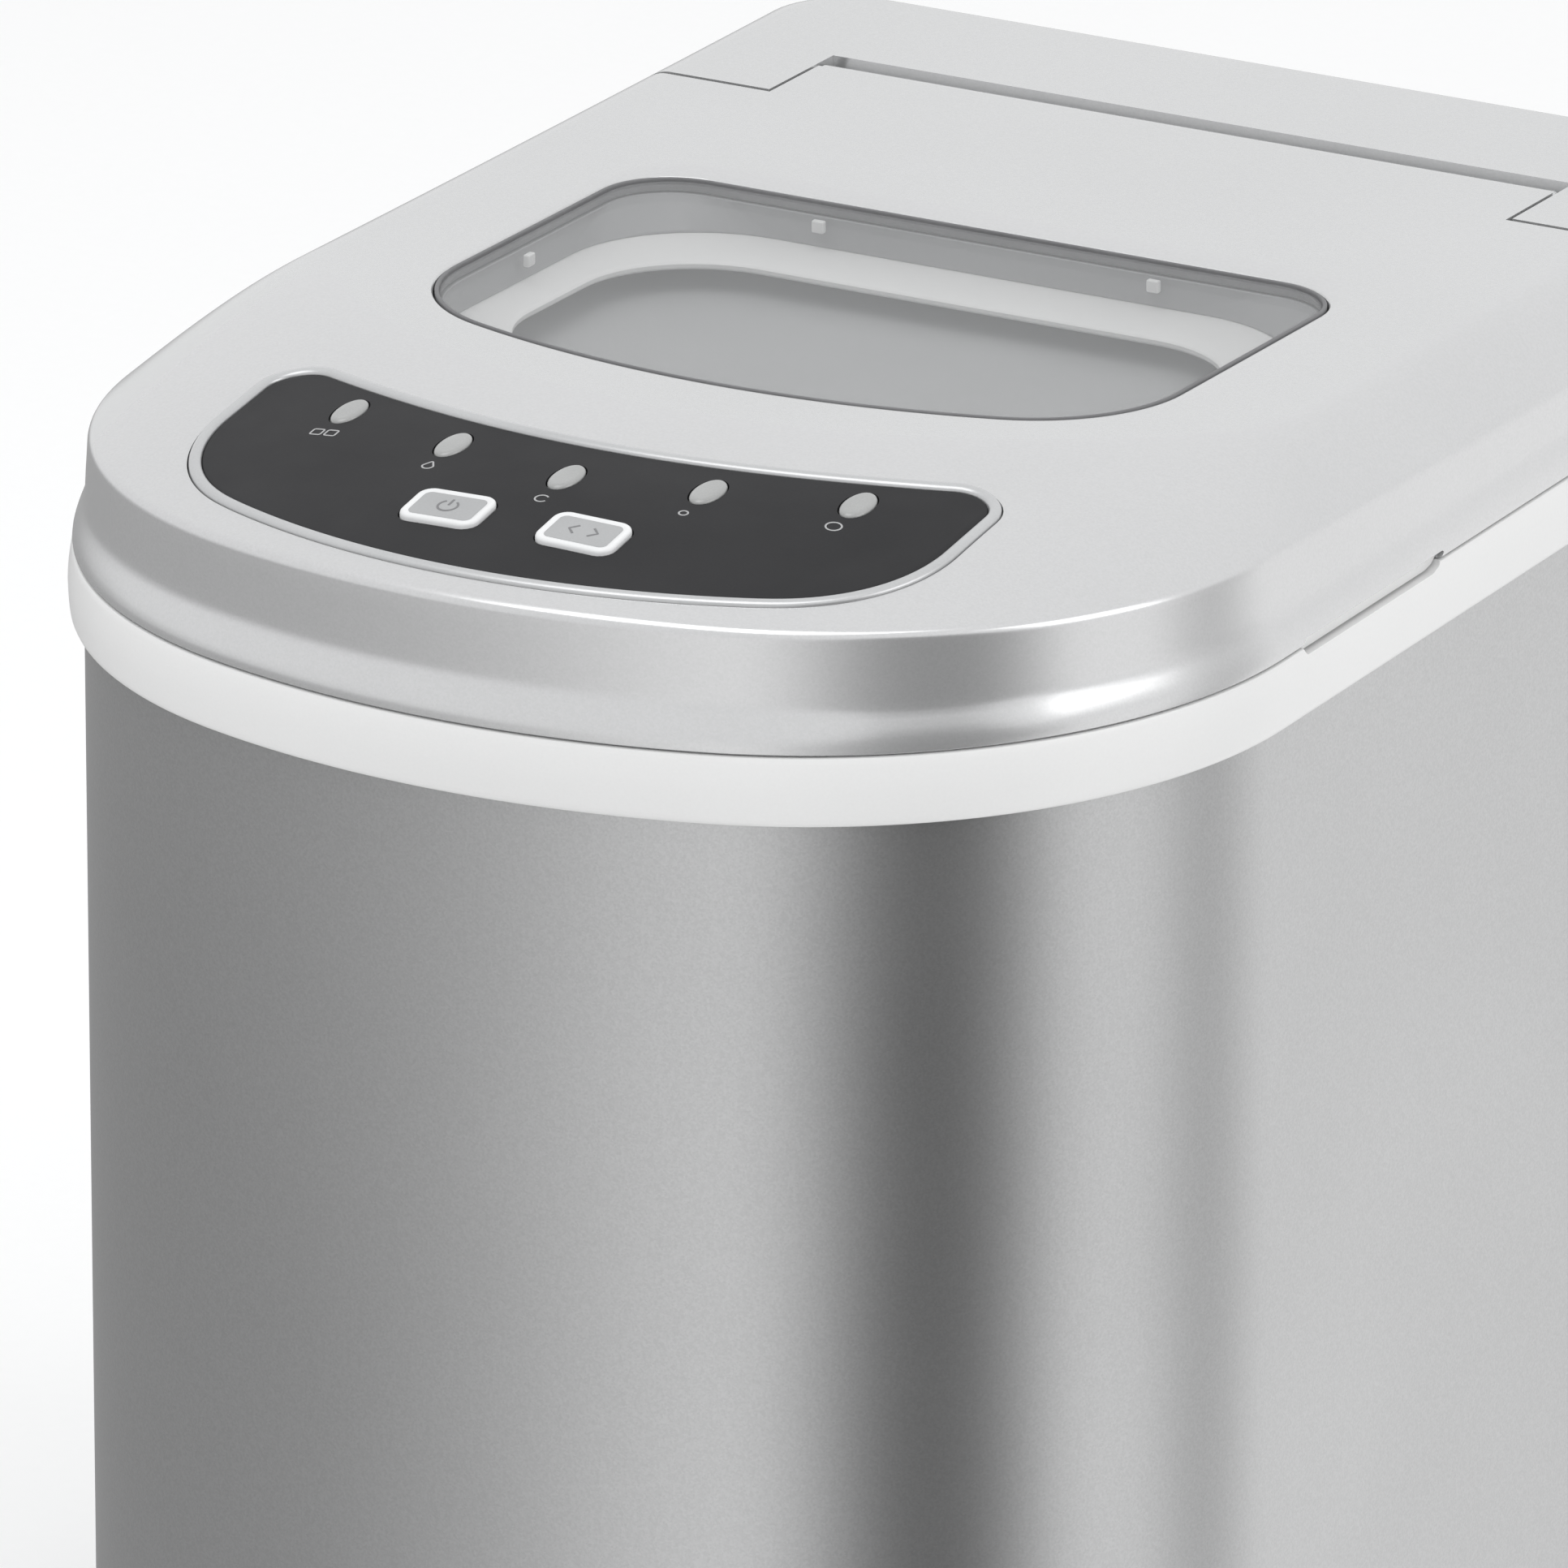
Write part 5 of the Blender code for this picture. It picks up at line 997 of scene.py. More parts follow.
@dataclass
class Lid:
    """Hinged lid: painted shell, inner panel, window and seal."""

    top: MouldedTop = field(default_factory=MouldedTop)
    slot: FingerSlot = field(default_factory=FingerSlot)
    liner: Outline = Outline(66.5 * MM, 122.0 * MM, 158.0 * MM, 26.0 * MM, 200.0 * MM, 24.0 * MM)
    ledge: Outline = Outline(74.7 * MM, 107.3 * MM, 168.0 * MM, 30.0 * MM, 213.4 * MM, 28.0 * MM)

    def build_shell(self) -> None:
        """Painted shell with its window, panel opening, finger slots and hinge barrel."""
        shell = self.top.wall("lid_top")
        carve(shell, Cut.KEEP, self.top.region("lid_plan", 0.0))
        y, z = self.top.hinge_point()
        half = LAY.tongue
        barrel = turned("lid_barrel", ((5.2 * MM, -half), (6.0 * MM, -half + 0.8 * MM),
                                       (6.0 * MM, half - 0.8 * MM), (5.2 * MM, half)), (0.0, y, z), "X", 48)
        carve(shell, Cut.ADD, barrel)
        cutters = [prism("panel_hole", ControlPanel.outline(2.7 * MM), LAY.deck, LAY.deck + LAY.cutter_top)]
        cutters += [self.slot.cutter("lid_slot_%d" % side, side) for side in (-1, 1)]
        reach = LAY.pin_reach
        cutters += [turned("lid_bore_%d" % side, ((LAY.pin_bore, -reach), (LAY.pin_bore, reach)),
                           (side * half, y, z), "X", 24) for side in (-1, 1)]
        carve(shell, Cut.TAKE, *cutters, sharp=24)
        finish_piece(shell, LID_PAINT, "lid", "lid_shell", slot="silver_top")

    def lay(self, outline: Outline, drop: float) -> Array:
        """A ring on an outline, a drop in millimetres below the outer surface."""
        return TOP.ring(outline.points(), -drop * MM)

    def build_inner_panel(self) -> None:
        """Inner panel: a flat sheet whose lighter ledge runs in from the apron, which is coloured dark as painted
        shade, to the round-cornered opening.

        Rows run over the ledge to the opening, round its lip, back under the sheet to its outer edge and over
        the top to the ledge.
        """
        sheet = Outline(99.5 * MM, 26.0 * MM, 146.0 * MM, 74.0 * MM, 257.6 * MM, 14.0 * MM)
        outer = self.ledge.inset(-1.4 * MM)
        mouth = self.liner
        rows = [self.lay(outer, 8.72), self.lay(self.ledge.inset(0.3 * MM), 8.72)]
        rows += list(between(rows[-1], self.lay(mouth.inset(-1.2 * MM), 9.9), (0.33, 0.66, 1.0)))
        rows += [self.lay(mouth.inset(-0.4 * MM), 10.1), self.lay(mouth, 10.5), self.lay(mouth, 11.2),
                 self.lay(mouth.inset(-0.3 * MM), 11.6), self.lay(mouth.inset(-1.2 * MM), 11.8)]
        rows += [self.lay(self.ledge, 11.2), self.lay(sheet.inset(6 * MM), 10.9),
                 self.lay(sheet.inset(0.8 * MM), 10.9), self.lay(sheet, 10.4), self.lay(sheet, 9.2),
                 self.lay(sheet.inset(0.6 * MM), 8.72)]
        panel = loft("lid_liner", np.array(rows), closed=True)
        finish_piece(panel, LINER_PLASTIC, "lid", "lid_inner_panel", slot="pale_plastic")
        # Window apron: the wall under the pane, given a dark colour as painted shade.
        face, back_face = WINDOW.inset(1.5 * MM), WINDOW.inset(0.3 * MM)
        low = self.ledge.inset(-1.3 * MM)
        rows = [self.lay(back_face, 2.8), self.lay(face.inset(-0.2 * MM), 2.72), self.lay(face, 2.9),
                self.lay(self.ledge.inset(-0.1 * MM), 8.2), self.lay(self.ledge, 8.6),
                self.lay(low, 8.6)]
        apron = loft("window_apron", np.array(rows), closed=True)
        finish_piece(apron, APRON_PAINTED_SHADE, "lid", slot="pale_plastic")
        clips = [self.clip(number, *where) for number, where in enumerate(
            ((-74.0, 165.0, 1), (74.0, 165.0, 1), (-36.0, 213.0, 0), (36.0, 213.0, 0)))]
        finish_piece(merged("window_clips", clips), LINER_PLASTIC, "lid", slot="pale_plastic")

    def clip(self, number: int, x: float, depth: float, upright: int) -> bpy.types.Object:
        """A small moulded catch that holds the pane's edge from below.

        Args:
            number: Its number.
            x: World x in millimetres.
            depth: Depth behind the band's front in millimetres.
            upright: 1 on the window's side edges, 0 on its back edge.

        Returns:
            The new object.
        """
        z = float(TOP.plateau_height(np.array(LAY.back(depth * MM))))
        half = (0.7 * MM, 1.3 * MM) if upright else (1.3 * MM, 0.7 * MM)
        inward = (-math.copysign(1.3, x) * MM, 0.0) if upright else (0.0, -1.3 * MM)
        cx, cy = x * MM + inward[0], float(LAY.back(depth * MM)) + inward[1]
        return block("clip_%d" % number, (cx - half[0], cy - half[1], z - 5.2 * MM),
                     (cx + half[0], cy + half[1], z - 2.75 * MM), 0.35 * MM)

    def build_window(self) -> None:
        """Clear pane that follows the plateau, and the thin seal round it."""
        seal = ring_on_top("seal_ring", WINDOW, ((0.0, -2.4), (0.0, -0.15), (0.08, 0.02), (0.25, 0.12),
                                                 (0.5, 0.14), (0.75, 0.06), (0.85, -0.1), (0.9, -0.4), (0.9, -2.4)))
        finish_piece(seal, SEAL, "lid", "window_seal", slot="black_rubber")
        rows = []
        centre = np.array([0.0, LAY.back(160.0 * MM)])
        outer = WINDOW.inset(1.0 * MM).points()
        shares = np.linspace(0.02, 0.99, 22)
        for share in shares:
            rows.append(TOP.flat_ring(centre + (outer - centre) * share, -0.3 * MM))
        rows += [TOP.flat_ring(outer, -0.6 * MM), TOP.flat_ring(outer, -2.3 * MM)]
        for share in shares[::-3]:
            rows.append(TOP.flat_ring(centre + (outer - centre) * share, -2.3 * MM))
        pane = loft("window_glazing", np.array(rows), sharp=40)
        finish_piece(pane, PANE, "lid", "window_pane", slot="clear_plastic")

    def build(self) -> None:
        """All of the lid but the control panel."""
        self.build_shell()
        self.build_inner_panel()
        self.build_window()


def ring_on_top(name: str, outline: Outline, profile: Sequence[Tuple[float, float]]) -> bpy.types.Object:
    """A closed ring whose section follows the top surface.

    Args:
        name: The piece's name.
        outline: The plan outline that it runs round.
        profile: The section's points as (inset, rise) in millimetres.

    Returns:
        The new object.
    """
    rows = [TOP.ring(outline.inset(inset * MM).points(), rise * MM) for inset, rise in profile]
    return loft(name, np.array(rows), closed=True, sharp=50)


@dataclass
class RearCover:
    """Fixed rear cover with its ears, and the two hinge pins."""

    top: MouldedTop = field(default_factory=MouldedTop)

    def build(self) -> None:
        """Cut the cover from the moulded top, and add the ear cheeks and pins."""
        cover = self.top.wall("rear_cover")
        carve(cover, Cut.TAKE, self.top.region("cover_cut", 1.0))
        y, z = self.top.hinge_point()
        inner = LAY.tongue + 0.8 * MM
        for side in (-1, 1):
            low, high = sorted((side * inner, side * (inner + 9 * MM)))
            cheek = block("ear_cheek", (low, LAY.back(LAY.lid_back) + 2.3 * MM, z - 7 * MM),
                          (high, y + 12 * MM, z + LAY.hinge_radius - 1.5 * MM))
            carve(cover, Cut.ADD, cheek)
        bores = []
        for side in (-1, 1):
            start, end = sorted((-side * 1.0 * MM, side * LAY.pin_reach))
            bores.append(turned("ear_bore_%d" % side, ((LAY.pin_bore, start), (LAY.pin_bore, end)),
                                (side * inner, y, z), "X", 24))
        carve(cover, Cut.TAKE, *bores, sharp=24)
        finish_piece(cover, LID_PAINT, "body", "rear_top_cover", slot="silver_top")
        for side, word in ((-1, "left"), (1, "right")):
            middle = side * (LAY.tongue + 0.4 * MM)
            pin = turned("hinge_pin_%s_fine" % word, ((1.4 * MM, -7.0 * MM), (1.8 * MM, -6.6 * MM),
                                                      (1.8 * MM, 6.6 * MM), (1.4 * MM, 7.0 * MM)),
                         (middle, y, z), "X", 32)
            finish_piece(pin, STEEL, "body", "hinge_pin_" + word, slot="steel")


# ---------------------------------------------------------------------------------------------- control panel
@dataclass
class ControlPanel:
    """Crescent panel: bezel, overlay, lamps, buttons and their plain marks."""

    lamps: Tuple[Tuple[str, float, float], ...] = (("ice_full", -53.5, 64.0), ("add_water", -26.8, 55.8),
                                                   ("running", 0.0, 50.7), ("size_small", 26.8, 55.8),
                                                   ("size_large", 53.5, 64.0))
    lamp_half: Tuple[float, float] = (2.9 * MM, 5.1 * MM)
    button_size: Tuple[float, float] = (16.3 * MM, 11.5 * MM)
    button_depth: float = 31.8 * MM
    button_pitch: float = 28.4 * MM

    @staticmethod
    def outline(grow: float) -> Array:
        """Crescent outline grown by an amount: front arc, two corner arcs, two tips and a hollow back edge.

        The front arc and corner arcs meet at a tangent, each tip turns through 120 degrees, and the back edge
        is a parabola between the tips.

        Args:
            grow: Growth all round, in metres.

        Returns:
            Array of (count, 2) world x and y.
        """
        half, radius, corner = 75.5 * MM + grow, 128.0 * MM + grow, 34.0 * MM + grow
        front = 13.0 * MM - grow
        cx = half - corner
        cd = front + radius - math.sqrt((radius - corner) ** 2 - cx ** 2)
        meet = math.atan2(cx, front + radius - cd)
        bow = np.linspace(0, meet, 24, endpoint=False)
        bend = np.linspace(meet, np.pi / 2, 22)
        tip = 7.0 * MM + grow
        turn = np.radians(np.linspace(0, 120, 14))
        tip_x, tip_d = half - tip, 71.5 * MM
        last_x, last_d = tip_x + tip * math.cos(turn[-1]), tip_d + tip * math.sin(turn[-1])
        middle = 63.8 * MM + grow
        share = np.linspace(1, 0, 22)[1:]
        xs = np.concatenate([radius * np.sin(bow), cx + corner * np.sin(bend), tip_x + tip * np.cos(turn),
                             last_x * share])
        ds = np.concatenate([front + radius * (1 - np.cos(bow)), cd - corner * np.cos(bend),
                             tip_d + tip * np.sin(turn), middle + (last_d - middle) * share ** 2])
        xs = np.concatenate([xs, -xs[1:-1][::-1]])
        ds = np.concatenate([ds, ds[1:-1][::-1]])
        return np.stack([xs, LAY.back(ds)], axis=1)

    def sheet(self, name: str, plan: Callable[[float], Array], centre: Tuple[float, float],
              profile: Sequence[Tuple[float, float]], rings: int = 16) -> bpy.types.Object:
        """A plate that follows the top surface.

        Rings shrink from the outline to a small one round the centre, above and below, each lifted onto the
        surface; the edge between them follows a profile of (inset, rise) in millimetres.

        Args:
            name: The piece's name.
            plan: Gives the outline grown by an amount.
            centre: World x and y of the middle.
            profile: The edge, from the top face down to the lower face.
            rings: Number of rings on the top face.

        Returns:
            The new object.
        """
        middle = np.array(centre)
        rows = []
        first, last = profile[0], profile[-1]
        edge = plan(-first[0] * MM)
        for share in np.linspace(0.03, 0.985, rings):
            ring = middle + (edge - middle) * share
            rows.append(TOP.ring(ring, first[1] * MM))
        for inset, rise in profile:
            rows.append(TOP.ring(plan(-inset * MM), rise * MM))
        edge = plan(-last[0] * MM)
        for share in np.linspace(0.97, 0.03, 7):
            ring = middle + (edge - middle) * share
            rows.append(TOP.ring(ring, last[1] * MM))
        return loft(name, np.array(rows), sharp=38)

    def build_plate(self) -> None:
        """Bezel and overlay, with holes for the buttons and lamps."""
        rows = []
        for grow, rise in ((2.4, -2.4), (2.4, 0.15), (2.3, 0.45), (2.0, 0.68), (1.6, 0.78), (1.1, 0.8), (0.6, 0.72),
                           (0.25, 0.5), (0.05, 0.2), (0.0, -0.1), (0.0, -2.4)):
            rows.append(TOP.ring(self.outline(grow * MM), rise * MM))
        bezel = loft("panel_surround", np.array(rows), closed=True, sharp=50)
        finish_piece(bezel, BEZEL_PLASTIC, "lid", "panel_bezel", slot="grey_plastic")
        plate = self.sheet("panel_plate", self.outline, (0.0, float(LAY.back(42.0 * MM))),
                           ((0.45, 0.1), (0.25, 0.05), (0.12, -0.15), (0.12, -2.0)), 34)
        cutters = []
        for side in (-1, 1):
            middle = (side * self.button_pitch / 2, LAY.back(self.button_depth))
            hole = soft_rectangle(np.array(middle), np.array(self.button_size) + 0.7 * MM, 3.35 * MM)
            cutters.append(prism("hole_%d" % side, hole, LAY.deck, LAY.deck + LAY.cutter_top))
        for name, x, depth in self.lamps:
            hole = oval((x * MM, LAY.back(depth * MM)), (self.lamp_half[0] + 0.3 * MM, self.lamp_half[1] + 0.3 * MM))
            cutters.append(prism("hole_" + name, hole, LAY.deck, LAY.deck + LAY.cutter_top))
        carve(plate, Cut.TAKE, *cutters, sharp=38)
        finish_piece(plate, PANEL_PLASTIC, "lid", "panel_overlay", slot="dark_plastic")

    def build_board_cover(self) -> None:
        """Thin moulded cover that closes the lamp board in from below."""
        cover = self.sheet("board_cover", self.outline, (0.0, float(LAY.back(40.0 * MM))),
                           ((1.6, -7.3), (1.3, -7.35), (1.2, -7.6), (1.2, -8.2), (1.4, -8.45)))
        finish_piece(cover, LINER_PLASTIC, "lid", slot="pale_plastic")

    def build_lamps(self) -> None:
        """Five oval lenses, each a low dome."""
        for name, x, depth in self.lamps:
            middle = (x * MM, float(LAY.back(depth * MM)))

            def plan(grow: float, at: Tuple[float, float] = middle) -> Array:
                """The lens outline grown by an amount."""
                return oval(at, (self.lamp_half[0] + grow, self.lamp_half[1] + grow))

            lens = self.sheet("lamp_" + name, plan, middle,
                              ((1.1, 0.62), (0.7, 0.56), (0.35, 0.42), (0.1, 0.2), (0.0, -0.05), (0.0, -2.0)), 5)
            finish_piece(lens, LENS, "lid", "led_lens_" + name, slot="lens")

    def build_buttons(self) -> None:
        """Two push buttons: a pale rim round a slightly sunk grey field, each with a plain mark."""
        for side, node, body in ((-1, "button_power", "power_button"), (1, "button_select", "select_button")):
            middle = (side * self.button_pitch / 2, float(LAY.back(self.button_depth)))

            def plan(grow: float, at: Tuple[float, float] = middle) -> Array:
                """The button outline grown by an amount."""
                return soft_rectangle(np.array(at), np.array(self.button_size) + 2 * grow, 3.0 * MM + grow, 8)

            cap = self.sheet(node + "_rim", plan, middle, (
                (1.55, 0.80), (1.35, 0.86), (1.1, 1.0), (0.7, 1.02), (0.35, 0.93), (0.1, 0.7), (0.0, 0.4),
                (0.0, -3.4)), 8)
            finish_piece(cap, BUTTON_RIM, body, node, slot="grey_plastic")
            inlay = self.sheet(node + "_field", plan, middle, ((1.75, 0.90), (1.62, 0.86), (1.6, 0.7)), 8)
            finish_piece(inlay, BUTTON_PLASTIC, body, slot="grey_plastic")
            marks = self.power_mark(middle) if side < 0 else self.select_mark(middle)
            finish_piece(merged(node + "_mark", marks), MARK_DARK, body, slot="grey_plastic")

    def stroke(self, name: str, line: Array, width: float, rise: float) -> bpy.types.Object:
        """A thin raised line on the top surface: the path moved half a width each way, closed into a loop.

        Args:
            name: The piece's name.
            line: Array of (count, 2) world x and y along the line.
            width: The line's width.
            rise: Height of its upper face over the top surface, in millimetres.

        Returns:
            The new object.
        """
        way = np.gradient(line, axis=0)
        way /= np.linalg.norm(way, axis=1)[:, None]
        across = np.stack([-way[:, 1], way[:, 0]], axis=1) * width / 2
        loop = np.concatenate([line + across, (line - across)[::-1]])
        z = TOP.height(loop[:, 0], loop[:, 1])
        return loft(name, np.stack([level(loop, z + (rise - 0.12) * MM), level(loop, z + rise * MM)]), sharp=20)

    def arc(self, middle: Tuple[float, float], radius: float, start: float, end: float) -> Array:
        """Points on a circle between two angles in degrees."""
        turn = np.radians(np.linspace(start, end, 30))
        return np.stack([middle[0] + radius * np.cos(turn), middle[1] + radius * np.sin(turn)], axis=1)

    def power_mark(self, at: Tuple[float, float]) -> List[bpy.types.Object]:
        """Open ring with a bar in its gap.

        Args:
            at: World x and y of the middle.

        Returns:
            The strokes.
        """
        bar = np.array([[at[0], at[1] + 0.2 * MM], [at[0], at[1] + 1.2 * MM], [at[0], at[1] + 2.4 * MM]])
        return [self.stroke("ring", self.arc(at, 1.9 * MM, 125, 415), 0.42 * MM, 0.96),
                self.stroke("bar", bar, 0.42 * MM, 0.96)]

    def select_mark(self, at: Tuple[float, float]) -> List[bpy.types.Object]:
        """Two arrow heads back to back.

        Args:
            at: World x and y of the middle.

        Returns:
            The strokes.
        """
        marks = []
        for side in (-1, 1):
            tip = np.array([at[0] + side * 3.0 * MM, at[1]])
            wing = np.array([-side * 1.5 * MM, 1.5 * MM])
            other = np.array([-side * 1.5 * MM, -1.5 * MM])
            line = np.array([tip + wing, tip + wing * 0.5, tip, tip + other * 0.5, tip + other])
            marks.append(self.stroke("arrow_%d" % side, line, 0.42 * MM, 0.96))
        return marks

    def build_marks(self) -> None:
        """Plain signs in front of the lamps: drop, block, ring, small and large bullet."""
        marks = []
        for name, x, depth in self.lamps:
            at = (x * MM, float(LAY.back((depth - 9.3) * MM)))
            if name == "add_water":
                turn = np.linspace(-0.5 * np.pi, 1.5 * np.pi, 40)
                size = 1.1 * MM * (1 + 0.55 * np.maximum(np.sin(turn), 0) ** 3)
                line = np.stack([at[0] + 1.1 * MM * np.cos(turn) * (1 - 0.35 * np.maximum(np.sin(turn), 0)),
                                 at[1] + size * np.sin(turn)], axis=1)
                marks.append(self.stroke("drop", line, 0.35 * MM, 0.14))
            elif name == "ice_full":
                for shift in (-1.5, 1.5):
                    box = soft_rectangle(np.array([at[0] + shift * MM, at[1]]), np.array([2.2, 2.2]) * MM,
                                         0.4 * MM, 4)
                    marks.append(self.stroke("cube", np.concatenate([box, box[:1]]), 0.35 * MM, 0.14))
            elif name == "running":
                marks.append(self.stroke("turning", self.arc(at, 1.25 * MM, 40, 330), 0.35 * MM, 0.14))
            else:
                size = 0.85 if name == "size_small" else 1.5
                marks.append(self.stroke("bullet", self.arc(at, size * MM, 0, 358), 0.35 * MM, 0.14))
        finish_piece(merged("panel_marks", marks), MARK, "lid", slot="lens")

    def build(self) -> None:
        """The whole panel, and the cover of the board under it."""
        self.build_board_cover()
        self.build_plate()
        self.build_lamps()
        self.build_buttons()
        self.build_marks()


# ---------------------------------------------------------------------------------------------- collar and body
@dataclass
class Collar:
    """Light band round the machine, with its deck, tank mouth and finger slots."""

    section: Tuple[Tuple[float, float], ...] = (
        (1.75, 13.40), (1.25, 13.36), (0.95, 13.2), (0.80, 12.9), (0.60, 12.0), (0.36, 10.6), (0.16, 9.0),
        (0.03, 7.4), (0.0, 6.2), (0.04, 4.8), (0.13, 3.2), (0.25, 1.8), (0.38, 1.0), (0.62, 0.45), (1.0, 0.12),
        (1.5, 0.0), (2.2, 0.0), (2.6, 0.08), (2.7, 0.3), (2.7, 6.3), (6.7, 6.3), (6.7, 10.4))
    slot: FingerSlot = field(default_factory=FingerSlot)

    def build(self) -> None:
        """Carry the section round the machine, close it through the tank mouth, then cut the openings."""
        rows = [level(BASE.inset(inset * MM).points(), LAY.band_bottom + rise * MM) for inset, rise in self.section]
        mouth = TANK.inset(-LAY.gap).points()
        rows += [level(mouth, LAY.deck - 3.0 * MM), level(mouth, LAY.deck - 0.4 * MM),
                 level(TANK.inset(-0.7 * MM).points(), LAY.deck)]
        rows += list(between(rows[-1], rows[0], (0.33, 0.66)))
        band = loft("collar", np.array(rows), closed=True)
        tubes = prism("tube_hole", soft_rectangle(np.array([41.0 * MM, LAY.back(242.0 * MM)]),
                                                  np.array([28.0, 14.0]) * MM, 5.0 * MM),
                      LAY.deck - 20 * MM, LAY.deck + 20 * MM)
        carve(band, Cut.TAKE, tubes, *[self.slot.cutter("band_slot_%d" % side, side) for side in (-1, 1)])
        finish_piece(band, COLLAR_PLASTIC, "body", "collar_band", slot="pale_plastic")
        for side, word in ((-1, "left"), (1, "right")):
            boss = self.slot.cutter("slot_boss_" + word, side, 0.45 * MM, (7.4 * MM, 2.3 * MM))
            finish_piece(boss, COLLAR_PLASTIC, "body", slot="pale_plastic")


@dataclass
class Body:
    """Painted wrap with side vents, and the moulded rear panel."""

    low: float = 9.8 * MM
    high: float = 283.0 * MM
    sheet: float = 1.2 * MM
    panel: float = 2.5 * MM
    split: float = 329.0 * MM
    vents: int = 12
    vent_pitch: float = 9.0 * MM
    vent_low: float = 60.0 * MM
    vent_middle: float = 282.0 * MM
    vent_size: Tuple[float, float] = (60.0 * MM, 3.2 * MM)
    screw_side: float = 96.5 * MM
    screw_heights: Tuple[float, float] = (30.0 * MM, 250.0 * MM)
    gland: Tuple[float, float] = (72.0 * MM, 42.0 * MM)
    fan: Tuple[float, float] = (-58.0 * MM, 96.0 * MM)
    guard_half: float = 48.0 * MM

    @property
    def back_face(self) -> float:
        """World y of the rear panel's outer face."""
        return float(LAY.back(LAY.depth - LAY.body_inset))

    def wall(self, name: str, thick: float) -> bpy.types.Object:
        """A ring of wall round the whole outline, with a small roll at its lower edge.

        Args:
            name: The piece's name.
            thick: Thickness of the wall.

        Returns:
            The new object.
        """
        outer = BASE.inset(LAY.body_inset)
        rows = []
        for z, inset in ((self.low, 0.45), (self.low + 0.25 * MM, 0.12), (self.low + 0.8 * MM, 0.0)):
            rows.append(level(outer.inset(inset * MM).points(), z))
        rows += [level(outer.points(), z) for z in np.linspace(self.low + 6 * MM, self.high, 9)]
        inner = outer.inset(thick).points()
        rows += [level(inner, z) for z in (self.high, self.high / 2, self.low)]
        return loft(name, np.array(rows), closed=True)

    def slot_cutter(self, side: int, number: int) -> bpy.types.Object:
        """A vent slot with round ends, through one side.

        Args:
            side: -1 for the left, 1 for the right.
            number: Its number from the lowest.

        Returns:
            The new object.
        """
        x = side * (LAY.half_width - LAY.body_inset)
        y, z = float(LAY.back(self.vent_middle)), self.vent_low + number * self.vent_pitch
        flat = soft_rectangle(np.array([y, z]), np.array(self.vent_size), self.vent_size[1] / 2 * 0.98, 8)
        rings = np.stack([np.concatenate([np.full((len(flat), 1), x + shift), flat], axis=1)
                          for shift in (-4 * MM, 4 * MM)])
        return loft("vent_%d_%d" % (side, number), rings)

    def build_wrap(self) -> None:
        """The painted wrap: front and sides of the wall, less its vents and drain hole."""
        wrap = self.wall("wrap", self.sheet)
        far = 2 * LAY.half_width
        rear = block("wrap_rear", (-far, LAY.back(self.split), -1.0), (far, LAY.depth, 1.0))
        y, z = float(LAY.back(LAY.drain[0])), LAY.drain[1]
        drain = turned("wrap_drain", ((9.3 * MM, -20 * MM), (9.3 * MM, 20 * MM)),
                       (-(LAY.half_width - LAY.body_inset), y, z), "X", 48)
        slots = merged("vent_slots", [self.slot_cutter(side, number) for side in (-1, 1)
                                      for number in range(self.vents)])
        carve(wrap, Cut.TAKE, rear, drain, slots)
        finish_piece(wrap, BODY_PAINT, "body", "body_wrap", slot="body_silver")

    def build_rear(self) -> None:
        """The rear panel: the back of a thicker wall, with its fan window and holes."""
        panel = self.wall("back_panel", self.panel)
        far = 2 * LAY.half_width
        front = block("panel_front", (-far, -LAY.depth, -1.0), (far, LAY.back(self.split) + LAY.gap, 1.0))
        outer = self.back_face
        x, z = self.fan
        half = self.guard_half
        window = block("fan_window", (x - half, outer - 20 * MM, z - half), (x + half, outer + 8 * MM, z + half))
        holes = [turned("gland_hole", ((6.3 * MM, -20 * MM), (6.3 * MM, 8 * MM)),
                        (self.gland[0], outer, self.gland[1]), "Y", 40)]
        for side in (-1, 1):
            for height in self.screw_heights:
                holes.append(turned("screw_hole", ((1.9 * MM, -10 * MM), (1.9 * MM, 5 * MM)),
                                    (side * self.screw_side, outer, height), "Y", 20))
        carve(panel, Cut.TAKE, front, window, merged("rear_holes", holes))
        finish_piece(panel, HOUSING_PLASTIC, "body", "rear_panel", slot="grey_plastic")

    def build_screws(self) -> None:
        """Four pan-head screws, each with a crossed recess."""
        outer = self.back_face
        places = [(side, height) for height in self.screw_heights for side in (-1, 1)]
        for number, (side, height) in enumerate(places, 1):
            centre = (side * self.screw_side, outer, height)
            screw = turned("rear_screw_%d_fine" % number, (
                (1.5 * MM, -9.0 * MM), (1.5 * MM, 0.3 * MM), (3.5 * MM, 0.3 * MM), (3.6 * MM, 0.6 * MM),
                (3.45 * MM, 1.2 * MM), (3.0 * MM, 1.75 * MM), (2.2 * MM, 2.1 * MM), (1.0 * MM, 2.2 * MM)),
                centre, "Y", 40)
            arms = [block("arm_%d" % turn, (centre[0] - a, outer + 1.0 * MM, centre[2] - b),
                          (centre[0] + a, outer + 4 * MM, centre[2] + b))
                    for turn, (a, b) in enumerate(((1.7 * MM, 0.32 * MM), (0.32 * MM, 1.7 * MM)))]
            carve(screw, Cut.TAKE, *arms)
            finish_piece(screw, STEEL, "body", "rear_screw_%d" % number, slot="steel")

